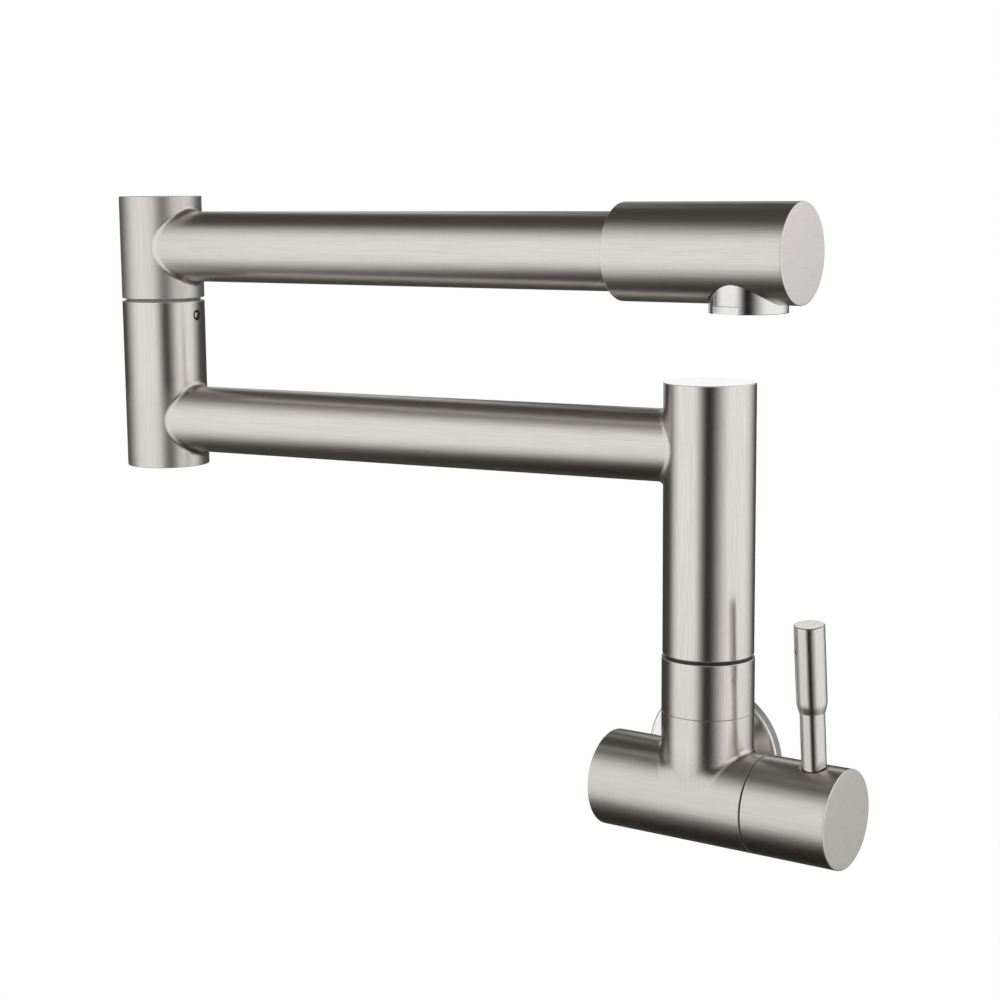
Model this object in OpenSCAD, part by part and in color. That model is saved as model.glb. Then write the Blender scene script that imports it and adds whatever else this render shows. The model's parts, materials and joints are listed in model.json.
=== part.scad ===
// Wall mounted pot filler, cold water only, with two swivels and a quarter-turn lever.
// Origin: axis of the inlet tail at the wall face. +Y runs into the wall, +X along the
// valve body towards the lever, +Z up. Millimetres. Drawn as it hangs with the arm folded.

/* [Wall side] */
// Distance from the wall face to the axis of the valve body
wall_to_body = 50; // [46:1:65]
// Diameter of the wall flange
flange_d = 60; // [54:1:75]
// Depth of the wall flange
flange_depth = 5; // [4.6:0.1:5.5]
// Sheet thickness of the wall flange
flange_wall = 1.2; // [0.8:0.1:1.5]
// Diameter over the inlet thread (G1/2)
inlet_thread_d = 20.955; // [20.955]
// Length of thread behind the wall face
inlet_thread_l = 15; // [10:1:25]
// Water bore of the inlet tail
inlet_bore_d = 14; // [10:0.5:15]
// Diameter of the inlet neck
neck_d = 26; // [25:0.5:28]
// Section of the rubber ring that holds the flange
flange_ring_d = 2.6; // [2:0.1:3]

/* [Valve body] */
// Diameter of the valve body and of the lever cap
body_d = 38; // [36:0.5:42]
// Inlet axis to the left end of the body
inlet_to_end = 19; // [18:0.5:26]
// Inlet axis to the tower axis
inlet_to_tower = 24; // [24:0.5:32]
// Tower axis to the right end of the body
tower_to_seam = 24.2; // [23.5:0.1:28]
// Step by which the stub and the collar stand out past the tower
stub_step = 0.3; // [0.1:0.1:0.5]
// Height of the stub above the body axis
stub_h = 33.4; // [32:0.2:38]
// Height of the loose collar on the stub
collar_h = 21.3; // [16:0.1:26]
// Thickness of the flat discs that close tube ends
end_disc_t = 2.5; // [2:0.1:3]
// Small chamfer on turned edges
edge_break = 0.35; // [0.2:0.05:0.5]

/* [Lever] */
// Gap between the body and the lever cap
seam_gap = 0.5; // [0.4:0.1:1]
// Length of the lever cap
cap_l = 34.5; // [33.5:0.5:40]
// Tower axis to the lever axis
tower_to_lever = 46.6; // [46:0.2:48]
// Lean of the closed lever towards the front, in degrees
lever_lean = 5.8; // [0:0.2:10]
// Diameter of the lever's grip
grip_d = 11.5; // [10:0.5:14]
// Diameter of the lever's thin foot
foot_d = 9.4; // [8:0.2:9.6]
// Body axis to the lever's tip
lever_tip = 74; // [66:1:90]
// Body axis to the start of the neck cone
lever_neck = 41; // [34:1:50]
// Length of the neck cone
neck_cone_l = 2.3; // [1.5:0.1:4]

/* [Tower and lower arm] */
// Diameter of the tower and of both elbow barrels
tower_d = 35; // [34:0.5:35.5]
// Wall of the upright tubes
upright_wall = 2; // [1.8:0.1:2.2]
// Length of the tower tube with its end disc
tower_l = 103.6; // [90:0.2:130]
// Height of the open swivel gap
swivel_gap = 1.3; // [1:0.1:2]
// Tower top down to the lower arm's axis
lower_arm_drop = 24.8; // [20:0.2:36]
// Tower axis to elbow axis
arm_reach = 254; // [180:1:320]
// Swing of the folded lower arm out of the wall's direction, in degrees
lower_arm_swing = 7.5; // [0:0.5:20]
// Diameter of the lower arm tube
lower_arm_d = 28; // [26:0.5:30]
// Wall of the arm tubes
arm_wall = 1.5; // [1.2:0.1:2]

/* [Elbow and upper arm] */
// Lower arm's axis down to the foot of the elbow
elbow_foot = 20.2; // [18:0.2:26]
// Length of the elbow's lower barrel with its end disc
elbow_lower_l = 70.8; // [70:0.2:90]
// Length of the elbow's upper barrel with its end disc
elbow_upper_l = 43.1; // [42:0.1:56]
// Elbow top down to the upper arm's axis
upper_arm_drop = 21.2; // [20:0.2:22]
// Swing of the folded upper arm towards the wall, in degrees
upper_arm_swing = 2.6; // [0:0.2:4]
// Diameter of the upper arm tube
upper_arm_d = 29.5; // [27:0.5:30]

/* [Spout head] */
// Elbow axis to the axis of the outlet
spout_reach = 279.5; // [200:0.5:340]
// Outlet axis to the flat end of the head
outlet_to_end = 20.9; // [19:0.1:30]
// Length of the head
head_l = 72; // [56:1:90]
// Diameter of the head
head_d = 36.5; // [36:0.5:40]
// Wall of the head
head_wall = 2; // [1.6:0.1:2.4]
// Length of the head that is solid round the arm
head_socket_l = 6; // [4:0.5:12]
// Diameter of the aerator housing
aerator_d = 28.6; // [27.6:0.1:29]
// Drop of the aerator housing below the head
aerator_drop = 3; // [2:0.1:6]
// Width across the housing's spanner flats
aerator_flats = 26.3; // [25.5:0.1:27]
// Turn of the spanner flats out of line with the head, in degrees
aerator_turn = -12.6; // [-30:0.2:30]
// Diameter of the outlet thread inside the housing
outlet_thread_d = 24; // [23:0.5:24.5]
// Cell pitch of the outlet screen
screen_pitch = 2.9; // [2.7:0.1:3.4]
// Rings of cells round the middle one
screen_rings = 3; // [1:1:3]
// Bars between the cells
screen_bar = 0.6; // [0.5:0.1:1]

/* [Swivels] */
// Length of the pivot inside the turning tube
journal_l = 34; // [28:1:38]
// Radial running clearance of the pivots
running_fit = 0.06; // [0.02:0.01:0.1]
// Swivel gap to the set screw
screw_offset = 7.3; // [6.5:0.1:9]
// Diameter of the set screws
screw_d = 4; // [3:0.5:5]
// Seal section
seal_d = 2; // [1.6:0.1:2.4]
// Swivel gap to the first seal
seal_offset = 16; // [14:0.5:18]
// Distance between the two seals of a swivel
seal_pitch = 7; // [5:0.5:9]
// Wall of the pivots round their water bore
pivot_wall = 7.94; // [7:0.01:10]
// Recess of the slide rings behind the tubes
slide_ring_recess = 0.9; // [0.5:0.1:1.2]

/* [Headwork] */
// Tower axis to the face of the seat
seat_to_tower = 9; // [8.5:0.1:10]
// Diameter of the ceramic discs
disc_d = 16.8; // [16:0.1:17.4]
// Thickness of the fixed disc
fixed_disc_t = 3; // [2.5:0.1:3.2]
// Thickness of the moving disc
moving_disc_t = 3.2; // [2.8:0.1:3.4]
// Thickness of the seat seal before the discs
seat_seal_t = 2.2; // [1.8:0.1:2.4]
// Diameter of the bonnet's thread
bonnet_thread_d = 20.9; // [20:0.1:21.5]
// Diameter of the spindle's stem
stem_d = 10; // [9:0.5:11]
// Diameter of the spindle's end in the cap
spindle_end_d = 8; // [7:0.5:8.5]
// Depth of the flat on the spindle's end
spindle_flat = 0.8; // [0.5:0.1:1.2]

/* [Hidden] */
$fn = 96;

// Finishes
steel = [0.74, 0.73, 0.71];
polished = [0.86, 0.86, 0.86];
brass = [0.79, 0.66, 0.38];
rubber = [0.10, 0.10, 0.10];
white_plastic = [0.92, 0.92, 0.90];
ceramic = [0.95, 0.94, 0.90];

// Clearances
press_fit = 0.02;
thread_fit = 0.05;
slip_fit = 0.2;
face_gap = 0.1;
cut = 1;

// Diameter of the tower stub and of the collar
stub_d = tower_d + 2 * stub_step;

// Places along X
body_y = -wall_to_body;
left_x = -inlet_to_end;
tower_x = inlet_to_tower;
seam_x = tower_x + tower_to_seam;
cap_x = seam_x + seam_gap;
lever_x = tower_x + tower_to_lever;

// Heights
collar_top = stub_h + collar_h;
tower_z = collar_top + swivel_gap;
tower_top = tower_z + tower_l;
lower_arm_z = tower_top - lower_arm_drop;
elbow_z = lower_arm_z - elbow_foot;
elbow_gap_z = elbow_z + elbow_lower_l;
elbow_upper_z = elbow_gap_z + swivel_gap;
elbow_top = elbow_upper_z + elbow_upper_l;
upper_arm_z = elbow_top - upper_arm_drop;

// Bores that pieces share
upright_bore = tower_d - 2 * upright_wall;
lower_arm_bore = lower_arm_d - 2 * arm_wall;
upper_arm_bore = upper_arm_d - 2 * arm_wall;
head_bore = head_d - 2 * head_wall;
journal_d = upright_bore - 2 * running_fit;
pivot_bore_d = journal_d - 2 * pivot_wall;

// Inlet side
flange_hole_d = neck_d + 2 * slip_fit;
tail_shoulder_proud = 3;
tail_shoulder_l = flange_depth + tail_shoulder_proud;
washer_t = 1;
neck_end_y = -tail_shoulder_l - washer_t;
tail_thread_l = 14;
tail_end_gap = 0.5;

// Valve body bores
plug_register_l = 3;
chamber_wall = 5;
chamber_d = body_d - 2 * chamber_wall;
seat_x = tower_x - seat_to_tower;
seat_wall = 3;
seat_hole_d = 11;
valve_wall = 6.5;
valve_chamber_d = body_d - 2 * valve_wall;
valve_chamber_l = 17;
valve_chamber_end = seat_x + valve_chamber_l;
collar_wall = 4.8;
collar_bore_d = stub_d - 2 * collar_wall;
spigot_step = 1;
spigot_thread_d = collar_bore_d - 2 * spigot_step;
spigot_thread_l = 12;
riser_d = 14;

// Headwork, measured from the seat's face
cup_wall = 0.8;
fixed_disc_x = seat_x + seat_seal_t;
disc_gap = 0.02;
moving_disc_x = fixed_disc_x + fixed_disc_t + disc_gap;
driver_x = moving_disc_x + moving_disc_t;
driver_t = 3.4;
cup_end_x = driver_x + driver_t + face_gap;
cup_start_x = seat_x + 1;
bonnet_depth = 9;
bonnet_shoulder_x = seam_x - bonnet_depth;
bonnet_flange_d = 27;
bonnet_flange_t = 1.8;
bonnet_hex_af = 22;
bonnet_hex_l = 4.6;
bonnet_end_x = bonnet_shoulder_x + bonnet_flange_t + bonnet_hex_l;
counterbore_d = 29;
bonnet_seal_mid_r = 11.9;
bonnet_seal_d = 1.4;
clip_t = 0.8;
clip_x = bonnet_end_x + face_gap;
clip_ring_w = 2;
clip_bite = 0.9;
clip_mouth_w = 6;
stem_end_x = clip_x + clip_t + 1;
disc_port_r = 6.4;
disc_hub_r = 2;
driver_w = 6;
pin_r = 1;
pin_offset = 5.2;
pin_l = 1.6;

// Lever cap
hub_recess_d = 30;
hub_recess_l = 4;
hub_end_gap = 3.5;
spindle_end_x = lever_x - hub_end_gap;
hub_floor_t = 4;
lever_bore_floor = spindle_end_d / 2 + hub_floor_t;
lever_stud_d = 6;
foot_sink_depth = 1.6;
foot_sink_rim = 0.8;
lever_seat_r = body_d / 2 - foot_sink_depth;
foot_sink_d = foot_d + 2 * foot_sink_rim;
cap_screw_inset = 11;
cap_screw_x = cap_x + cap_screw_inset;
cap_screw_d = 5;
cap_screw_l = 13.5;
socket_share = 0.58;

// Seals
seal_squeeze_gap = 0.03;
groove_side_gap = 0.4;
seal_mid_r = journal_d / 2 - seal_d / 2 - seal_squeeze_gap;
seal_floor_r = seal_mid_r - seal_d / 2 - seal_squeeze_gap;
seal_groove_w = seal_d + 2 * groove_side_gap;
screw_groove_w = screw_d + 2 * groove_side_gap;
screw_bite = 1.8;
screw_tip_gap = 0.4;
screw_tip_r = journal_d / 2 - screw_bite;
screw_groove_r = screw_tip_r - screw_tip_gap;
screw_sink = 0.3;
stem_seal_d = 1.4;
stem_seal_mid_r = stem_d / 2 - stem_seal_d / 2 - seal_squeeze_gap;
stem_seal_floor_r = stem_seal_mid_r - stem_seal_d / 2 - seal_squeeze_gap;
stem_seal_offset = 5;
stem_seal_pitch = 5;
stem_seals_x = [for (i = [0, 1]) cup_end_x + stem_seal_offset + i * stem_seal_pitch];

// Spout head and outlet, heights below the head's axis
head_end = spout_reach + outlet_to_end;
head_start = head_end - head_l;
arm_in_head = 10;
aerator_bottom = -head_d / 2 - aerator_drop;
outlet_hole_d = aerator_d + 2 * slip_fit;
outlet_well_depth = 9.25;
outlet_roof = -head_d / 2 + outlet_well_depth;
outlet_roof_t = 4.5;
outlet_thread_l = 5;
outlet_thread_end = outlet_roof - outlet_thread_l;
aerator_roof_gap = 1.2;
aerator_top = outlet_roof - aerator_roof_gap;
aerator_lip_t = 1.1;
aerator_lip_w = 2;
aerator_lip_bore = outlet_thread_d - 2 * aerator_lip_w;
screen_z = aerator_bottom + aerator_lip_t;
screen_t = 1.2;
insert_z = screen_z + screen_t;
aerator_washer_t = 1.5;
insert_top = outlet_thread_end - aerator_washer_t;
insert_gap = 0.2;
insert_d = outlet_thread_d - 2 * insert_gap;
nipple_wall = 2.5;
nipple_bore_d = outlet_thread_d - 2 * nipple_wall;
saddle_rim = 1.2;
saddle_d = outlet_hole_d + 2 * saddle_rim;

// Frames of the turning groups
module at_body() {
    translate([0, body_y, 0]) children();
}

module at_tower() {
    translate([tower_x, body_y, 0]) children();
}

// Local +X runs from the tower to the elbow
module along_lower_arm() {
    at_tower() rotate([0, 0, 180 + lower_arm_swing]) children();
}

// At the elbow's axis, local +X runs back to the tower
module towards_tower() {
    along_lower_arm() translate([arm_reach, 0, 0]) rotate([0, 0, 180]) children();
}

module at_elbow() {
    towards_tower() rotate([0, 0, -lower_arm_swing]) children();
}

// Local +X runs from the elbow to the spout, with z = 0 on the arm's axis
module along_upper_arm() {
    at_elbow() rotate([0, 0, upper_arm_swing]) translate([0, 0, upper_arm_z]) children();
}

module at_outlet() {
    along_upper_arm() translate([spout_reach, 0, 0]) children();
}

// Local +Z runs up the lever from the body's axis
module along_lever() {
    translate([lever_x, body_y, 0]) rotate([lever_lean, 0, 0]) children();
}

// Round stock along X on the body's axis
module bar_x(d, x1, x2) {
    at_body() translate([x1, 0, 0]) rotate([0, 90, 0]) cylinder(d = d, h = x2 - x1);
}

// Round stock along Y on the inlet's axis
module bar_y(d, y1, y2) {
    translate([0, y1, 0]) rotate([-90, 0, 0]) cylinder(d = d, h = y2 - y1);
}

// Round stock along Z between two heights
module bar_z(d, z1, z2) {
    translate([0, 0, z1]) cylinder(d = d, h = z2 - z1);
}

// Turned bar from z = 0 to h, with its outer edges broken
module turned(d, h, low = true, high = true) {
    r = d / 2;
    c1 = low ? edge_break : 0;
    c2 = high ? edge_break : 0;
    foot = low ? [[0, 0], [r - c1, 0], [r, c1]] : [[0, 0], [r, 0]];
    head = high ? [[r, h - c2], [r - c2, h], [0, h]] : [[r, h], [0, h]];
    rotate_extrude() polygon(concat(foot, head));
}

// Disc that closes a tube: a face as wide as the tube and a register inside it
module tube_end(d, bore, register_l) {
    turned(d, end_disc_t, low = false);
    translate([0, 0, -register_l]) cylinder(d = bore - 2 * press_fit, h = register_l);
}

module ring(d, bore, h) {
    difference() {
        cylinder(d = d, h = h);
        translate([0, 0, -cut]) cylinder(d = bore, h = h + 2 * cut);
    }
}

module o_ring(mid_r, d) {
    rotate_extrude() translate([mid_r, 0]) circle(d = d, $fn = 24);
}

// Groove floor at radius r, cut into round stock of diameter d
module groove(d, r, z, w) {
    translate([0, 0, z - w / 2]) ring(d + 2 * cut, 2 * r, w);
}

// Pivot that hangs or stands in a turning tube, from its root at z = 0 upwards
module journal() {
    difference() {
        turned(journal_d, journal_l, low = false);
        groove(journal_d, screw_groove_r, screw_offset, screw_groove_w);
        for (i = [0, 1]) groove(journal_d, seal_floor_r, seal_offset + i * seal_pitch, seal_groove_w);
    }
}

module journal_seals() {
    for (i = [0, 1]) translate([0, 0, seal_offset + i * seal_pitch]) o_ring(seal_mid_r, seal_d);
}

module slide_ring() {
    ring(tower_d - 2 * slide_ring_recess, journal_d + 2 * face_gap, swivel_gap - face_gap);
}

// Socket set screw along +X, tip at radius screw_tip_r
module set_screw() {
    l = tower_d / 2 - screw_sink - screw_tip_r;
    difference() {
        translate([screw_tip_r, 0, 0]) rotate([0, 90, 0]) cylinder(d = screw_d - 2 * thread_fit, h = l);
        translate([screw_tip_r + l - screw_d / 2, 0, 0]) rotate([0, 90, 0])
            cylinder(d = screw_d * socket_share, h = screw_d, $fn = 6);
    }
}

// Hole for a set screw through one wall of an upright tube
module set_screw_hole() {
    translate([tower_d / 4, 0, 0]) rotate([0, 90, 0]) cylinder(d = screw_d, h = tower_d / 2);
}

// Upright tube with a side port for an arm of the given bore
module upright_tube(h, port_z, port_d, low = true, high = true) {
    difference() {
        turned(tower_d, h, low, high);
        bar_z(upright_bore, -cut, h + cut);
        translate([0, 0, port_z]) rotate([0, 90, 0]) cylinder(d = port_d, h = tower_d);
    }
}

// Saddle cut that fits an arm's end to an upright tube
module cope() {
    translate([0, 0, -tower_d]) cylinder(d = tower_d + 2 * press_fit, h = 2 * tower_d);
}

// Two opposite quarters of a ring, as the ports of a ceramic disc
module disc_ports(turn) {
    side = disc_d;
    rotate([0, 0, turn]) difference() {
        intersection() {
            translate([0, 0, -cut]) cylinder(r = disc_port_r, h = side);
            union() {
                translate([press_fit, press_fit, -cut]) cube(side);
                translate([-side - press_fit, -side - press_fit, -cut]) cube(side);
            }
        }
        translate([0, 0, -2 * cut]) cylinder(r = disc_hub_r, h = 2 * side);
    }
}

// Fixed on the wall
module wall_flange() {
    r = flange_d / 2;
    soft = 0.6;
    color(steel) rotate([-90, 0, 0]) translate([0, 0, -flange_depth]) difference() {
        rotate_extrude() polygon([
            [0, 0], [r - soft, 0], [r - soft / 4, soft / 4], [r, soft], [r, flange_depth], [0, flange_depth]
        ]);
        bar_z(flange_d - 2 * flange_wall, flange_wall, flange_depth + cut);
        bar_z(flange_hole_d, -cut, flange_depth);
    }
}

module flange_ring() {
    y = -flange_depth + flange_wall + flange_ring_d / 2 + press_fit;
    color(rubber) translate([0, y, 0]) rotate([90, 0, 0])
        o_ring(neck_d / 2 + flange_ring_d / 2 + press_fit, flange_ring_d);
}

module inlet_tail() {
    color(brass) difference() {
        union() {
            bar_y(inlet_thread_d, -cut, inlet_thread_l);
            bar_y(neck_d, -tail_shoulder_l, 0);
            bar_y(inlet_thread_d - 2 * thread_fit, -tail_shoulder_l - tail_thread_l, -tail_shoulder_l + cut);
        }
        bar_y(inlet_bore_d, -tail_shoulder_l - tail_thread_l - cut, inlet_thread_l + cut);
    }
}

module inlet_washer() {
    color(rubber) translate([0, neck_end_y, 0]) rotate([-90, 0, 0])
        ring(neck_d - 2 * slip_fit, inlet_thread_d + slip_fit, washer_t);
}

module valve_body() {
    tail_end_y = -tail_shoulder_l - tail_thread_l;
    color(steel) difference() {
        union() {
            at_body() translate([left_x + end_disc_t, 0, 0]) rotate([0, 90, 0])
                turned(body_d, seam_x - left_x - end_disc_t, low = false);
            at_tower() turned(stub_d, stub_h, low = false);
            translate([0, body_y, 0]) rotate([-90, 0, 0]) turned(neck_d, neck_end_y - body_y, low = false);
        }
        bar_x(chamber_d, left_x, seat_x - seat_wall);
        bar_x(seat_hole_d, left_x, seat_x + cut);
        bar_x(valve_chamber_d, seat_x, valve_chamber_end);
        bar_x(bonnet_thread_d + 2 * thread_fit, seat_x, seam_x);
        bar_x(counterbore_d, bonnet_shoulder_x, seam_x + cut);
        at_body() translate([bonnet_shoulder_x - bonnet_seal_d - face_gap, 0, 0]) rotate([0, 90, 0])
            ring(2 * (bonnet_seal_mid_r + bonnet_seal_d / 2 + face_gap),
                2 * (bonnet_seal_mid_r - bonnet_seal_d / 2 - face_gap), bonnet_seal_d + face_gap + cut);
        bar_y(inlet_thread_d, tail_end_y - tail_end_gap, neck_end_y + cut);
        bar_y(inlet_bore_d, body_y, 0);
        at_tower() bar_z(riser_d, 0, stub_h);
        at_tower() bar_z(spigot_thread_d, stub_h - spigot_thread_l - tail_end_gap, stub_h + cut);
    }
}

module body_end_plug() {
    color(steel) at_body() translate([left_x + end_disc_t, 0, 0]) rotate([0, -90, 0])
        tube_end(body_d, chamber_d, plug_register_l);
}

module base_collar() {
    color(steel) at_tower() translate([0, 0, stub_h]) difference() {
        turned(stub_d, collar_h);
        bar_z(collar_bore_d + 2 * thread_fit, -cut, collar_h + cut);
    }
}

module tower_spigot() {
    color(brass) at_tower() difference() {
        union() {
            bar_z(spigot_thread_d - 2 * thread_fit, stub_h - spigot_thread_l, stub_h + cut);
            bar_z(collar_bore_d, stub_h, collar_top + cut);
            translate([0, 0, collar_top]) journal();
        }
        bar_z(pivot_bore_d, 0, tower_top);
    }
}

module tower_o_rings() {
    color(rubber) at_tower() translate([0, 0, collar_top]) journal_seals();
}

module tower_slide_ring() {
    color(rubber) at_tower() translate([0, 0, collar_top]) slide_ring();
}

// Headwork: housing with the cup for the discs, thread, sealing flange and hexagon
module cartridge_bonnet() {
    cup_bore = disc_d + 2 * face_gap;
    stem_bore = stem_d + 2 * running_fit;
    window_w = 9;
    window_x = moving_disc_x + moving_disc_t - 0.2;
    color(brass) difference() {
        union() {
            bar_x(cup_bore + 2 * cup_wall, cup_start_x, valve_chamber_end);
            bar_x(bonnet_thread_d, valve_chamber_end - 1, bonnet_shoulder_x + cut);
            bar_x(bonnet_flange_d, bonnet_shoulder_x, bonnet_shoulder_x + bonnet_flange_t);
            at_body() translate([bonnet_shoulder_x, 0, 0]) rotate([0, 90, 0])
                cylinder(d = bonnet_hex_af / cos(30), h = bonnet_flange_t + bonnet_hex_l, $fn = 6);
        }
        bar_x(cup_bore, cup_start_x - cut, cup_end_x);
        bar_x(stem_bore, cup_start_x, bonnet_end_x + cut);
        at_body() translate([window_x, -window_w / 2, -body_d / 2])
            cube([cup_end_x - window_x - face_gap, window_w, body_d]);
    }
}

module bonnet_o_ring() {
    color(rubber) at_body() translate([bonnet_shoulder_x - bonnet_seal_d / 2 - press_fit, 0, 0])
        rotate([0, 90, 0]) o_ring(bonnet_seal_mid_r, bonnet_seal_d);
}

module ceramic_disc_fixed() {
    color(ceramic) at_body() translate([fixed_disc_x, 0, 0]) rotate([0, 90, 0]) difference() {
        cylinder(d = disc_d, h = fixed_disc_t);
        disc_ports(0);
    }
}

module cartridge_seat_seal() {
    color(rubber) at_body() translate([seat_x, 0, 0]) rotate([0, 90, 0])
        ring(disc_d - 0.6, 2 * disc_port_r, seat_seal_t);
}

// Turns with the lever
module handle_cap() {
    hub_bore = spindle_end_d + 2 * press_fit;
    color(steel) difference() {
        at_body() translate([cap_x, 0, 0]) rotate([0, 90, 0]) turned(body_d, cap_l);
        bar_x(hub_recess_d, cap_x - cut, cap_x + hub_recess_l);
        bar_x(hub_bore, cap_x, spindle_end_x + tail_end_gap);
        translate([cap_screw_x, body_y, -body_d]) cylinder(d = cap_screw_d, h = body_d);
        along_lever() bar_z(lever_stud_d, lever_bore_floor - tail_end_gap, body_d);
        along_lever() bar_z(foot_sink_d, lever_seat_r, body_d);
    }
}

module lever_stick() {
    grip_r = grip_d / 2;
    foot_r = foot_d / 2;
    stud_r = lever_stud_d / 2 - thread_fit;
    color(steel) along_lever() rotate_extrude() polygon([
        [0, lever_bore_floor], [stud_r, lever_bore_floor], [stud_r, lever_seat_r], [foot_r, lever_seat_r],
        [foot_r, lever_neck], [foot_r + edge_break, lever_neck], [grip_r, lever_neck + neck_cone_l],
        [grip_r, lever_tip - edge_break], [grip_r - edge_break, lever_tip], [0, lever_tip]
    ]);
}

module handle_grub_screw() {
    top = -spindle_end_d / 2 + spindle_flat - press_fit;
    color(steel) translate([cap_screw_x, body_y, 0]) difference() {
        bar_z(cap_screw_d - 2 * thread_fit, top - cap_screw_l, top);
        translate([0, 0, top - cap_screw_l - cut])
            cylinder(d = cap_screw_d * socket_share, h = cap_screw_d / 2 + cut, $fn = 6);
    }
}

module cartridge_spindle() {
    color(brass) difference() {
        union() {
            intersection() {
                bar_x(disc_d, driver_x, driver_x + driver_t);
                at_body() translate([driver_x, -disc_d, -driver_w / 2])
                    cube([driver_t, 2 * disc_d, driver_w]);
            }
            for (side = [-1, 1]) translate([0, side * pin_offset, 0])
                bar_x(2 * pin_r, driver_x - pin_l, driver_x + cut);
            bar_x(stem_d, driver_x + driver_t - cut, stem_end_x);
            bar_x(spindle_end_d, stem_end_x - cut, spindle_end_x);
        }
        for (x = stem_seals_x) at_body() translate([x, 0, 0]) rotate([0, 90, 0])
            groove(stem_d, stem_seal_floor_r, 0, stem_seal_d + groove_side_gap);
        at_body() translate([clip_x + clip_t / 2, 0, 0]) rotate([0, 90, 0])
            groove(stem_d, stem_d / 2 - clip_bite, 0, clip_t + face_gap);
        translate([stem_end_x, body_y - stem_d / 2, -spindle_end_d])
            cube([spindle_end_x, stem_d, spindle_end_d / 2 + spindle_flat]);
    }
}

module spindle_o_rings() {
    color(rubber) for (x = stem_seals_x) at_body() translate([x, 0, 0]) rotate([0, 90, 0])
        o_ring(stem_seal_mid_r, stem_seal_d);
}

// Open spring clip in the stem's groove
module spindle_clip() {
    color(steel) at_body() translate([clip_x + face_gap / 2, 0, 0]) rotate([0, 90, 0]) difference() {
        ring(stem_d + 2 * clip_ring_w, stem_d - 2 * clip_bite + face_gap, clip_t - face_gap / 2);
        translate([0, -clip_mouth_w / 2, -cut]) cube([stem_d, clip_mouth_w, clip_t + 2 * cut]);
    }
}

module ceramic_disc_moving() {
    color(ceramic) at_body() translate([moving_disc_x, 0, 0]) rotate([0, 90, 0]) difference() {
        cylinder(d = disc_d, h = moving_disc_t);
        disc_ports(90);
        for (side = [-1, 1]) translate([0, side * pin_offset, moving_disc_t - pin_l - face_gap])
            cylinder(r = pin_r + face_gap, h = pin_l + cut);
    }
}

// Turns on the tower
module tower_tube() {
    h = tower_l - end_disc_t;
    color(steel) along_lower_arm() translate([0, 0, tower_z]) difference() {
        upright_tube(h, lower_arm_z - tower_z, lower_arm_bore, high = false);
        translate([0, 0, screw_offset - swivel_gap]) set_screw_hole();
    }
}

module tower_top_plug() {
    color(steel) at_tower() translate([0, 0, tower_top - end_disc_t])
        tube_end(tower_d, upright_bore, plug_register_l);
}

module lower_arm_tube() {
    color(steel) along_lower_arm() translate([0, 0, lower_arm_z]) difference() {
        rotate([0, 90, 0]) ring(lower_arm_d, lower_arm_bore, arm_reach);
        for (x = [0, arm_reach]) translate([x, 0, 0]) cope();
    }
}

module elbow_lower_barrel() {
    h = elbow_lower_l - end_disc_t;
    color(steel) towards_tower() translate([0, 0, elbow_z + end_disc_t]) difference() {
        upright_tube(h, elbow_foot - end_disc_t, lower_arm_bore, low = false);
        translate([0, 0, h + swivel_gap - screw_offset]) set_screw_hole();
    }
}

module elbow_bottom_plug() {
    color(steel) at_elbow() translate([0, 0, elbow_z + end_disc_t]) rotate([180, 0, 0])
        tube_end(tower_d, upright_bore, plug_register_l);
}

// One screw under the tower's arm, one over the elbow's arm
module swivel_grub_screws() {
    color(steel) {
        along_lower_arm() translate([0, 0, collar_top + screw_offset]) set_screw();
        towards_tower() translate([0, 0, elbow_upper_z - screw_offset]) set_screw();
    }
}

// Turns on the elbow
module elbow_upper_barrel() {
    color(steel) along_upper_arm() translate([0, 0, elbow_upper_z - upper_arm_z])
        upright_tube(elbow_upper_l - end_disc_t, upper_arm_z - elbow_upper_z, upper_arm_bore, high = false);
}

module elbow_top_plug() {
    color(steel) at_elbow() translate([0, 0, elbow_top - end_disc_t])
        tube_end(tower_d, upright_bore, plug_register_l);
}

module elbow_spigot() {
    register_l = upper_arm_z - upper_arm_d / 2 - elbow_upper_z - 1;
    color(brass) at_elbow() translate([0, 0, elbow_upper_z]) difference() {
        union() {
            rotate([180, 0, 0]) journal();
            cylinder(d = upright_bore - 2 * press_fit, h = register_l);
        }
        bar_z(pivot_bore_d, -journal_l - cut, register_l + cut);
    }
}

module elbow_o_rings() {
    color(rubber) at_elbow() translate([0, 0, elbow_upper_z]) rotate([180, 0, 0]) journal_seals();
}

module elbow_slide_ring() {
    color(white_plastic) at_elbow() translate([0, 0, elbow_upper_z]) rotate([180, 0, 0]) slide_ring();
}

module upper_arm_tube() {
    color(steel) along_upper_arm() difference() {
        rotate([0, 90, 0]) ring(upper_arm_d, upper_arm_bore, head_start + arm_in_head);
        cope();
    }
}

module spout_head() {
    l = head_l - end_disc_t;
    color(steel) along_upper_arm() difference() {
        translate([head_start, 0, 0]) rotate([0, 90, 0]) turned(head_d, l, high = false);
        translate([head_start - cut, 0, 0]) rotate([0, 90, 0])
            cylinder(d = upper_arm_d + 2 * thread_fit, h = l);
        translate([head_start + head_socket_l, 0, 0]) rotate([0, 90, 0]) cylinder(d = head_bore, h = l);
        translate([spout_reach, 0, -head_d]) cylinder(d = outlet_hole_d, h = head_d);
    }
}

module spout_end_disc() {
    color(steel) along_upper_arm() translate([head_end - end_disc_t, 0, 0]) rotate([0, 90, 0])
        tube_end(head_d, head_bore, end_disc_t);
}

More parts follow.
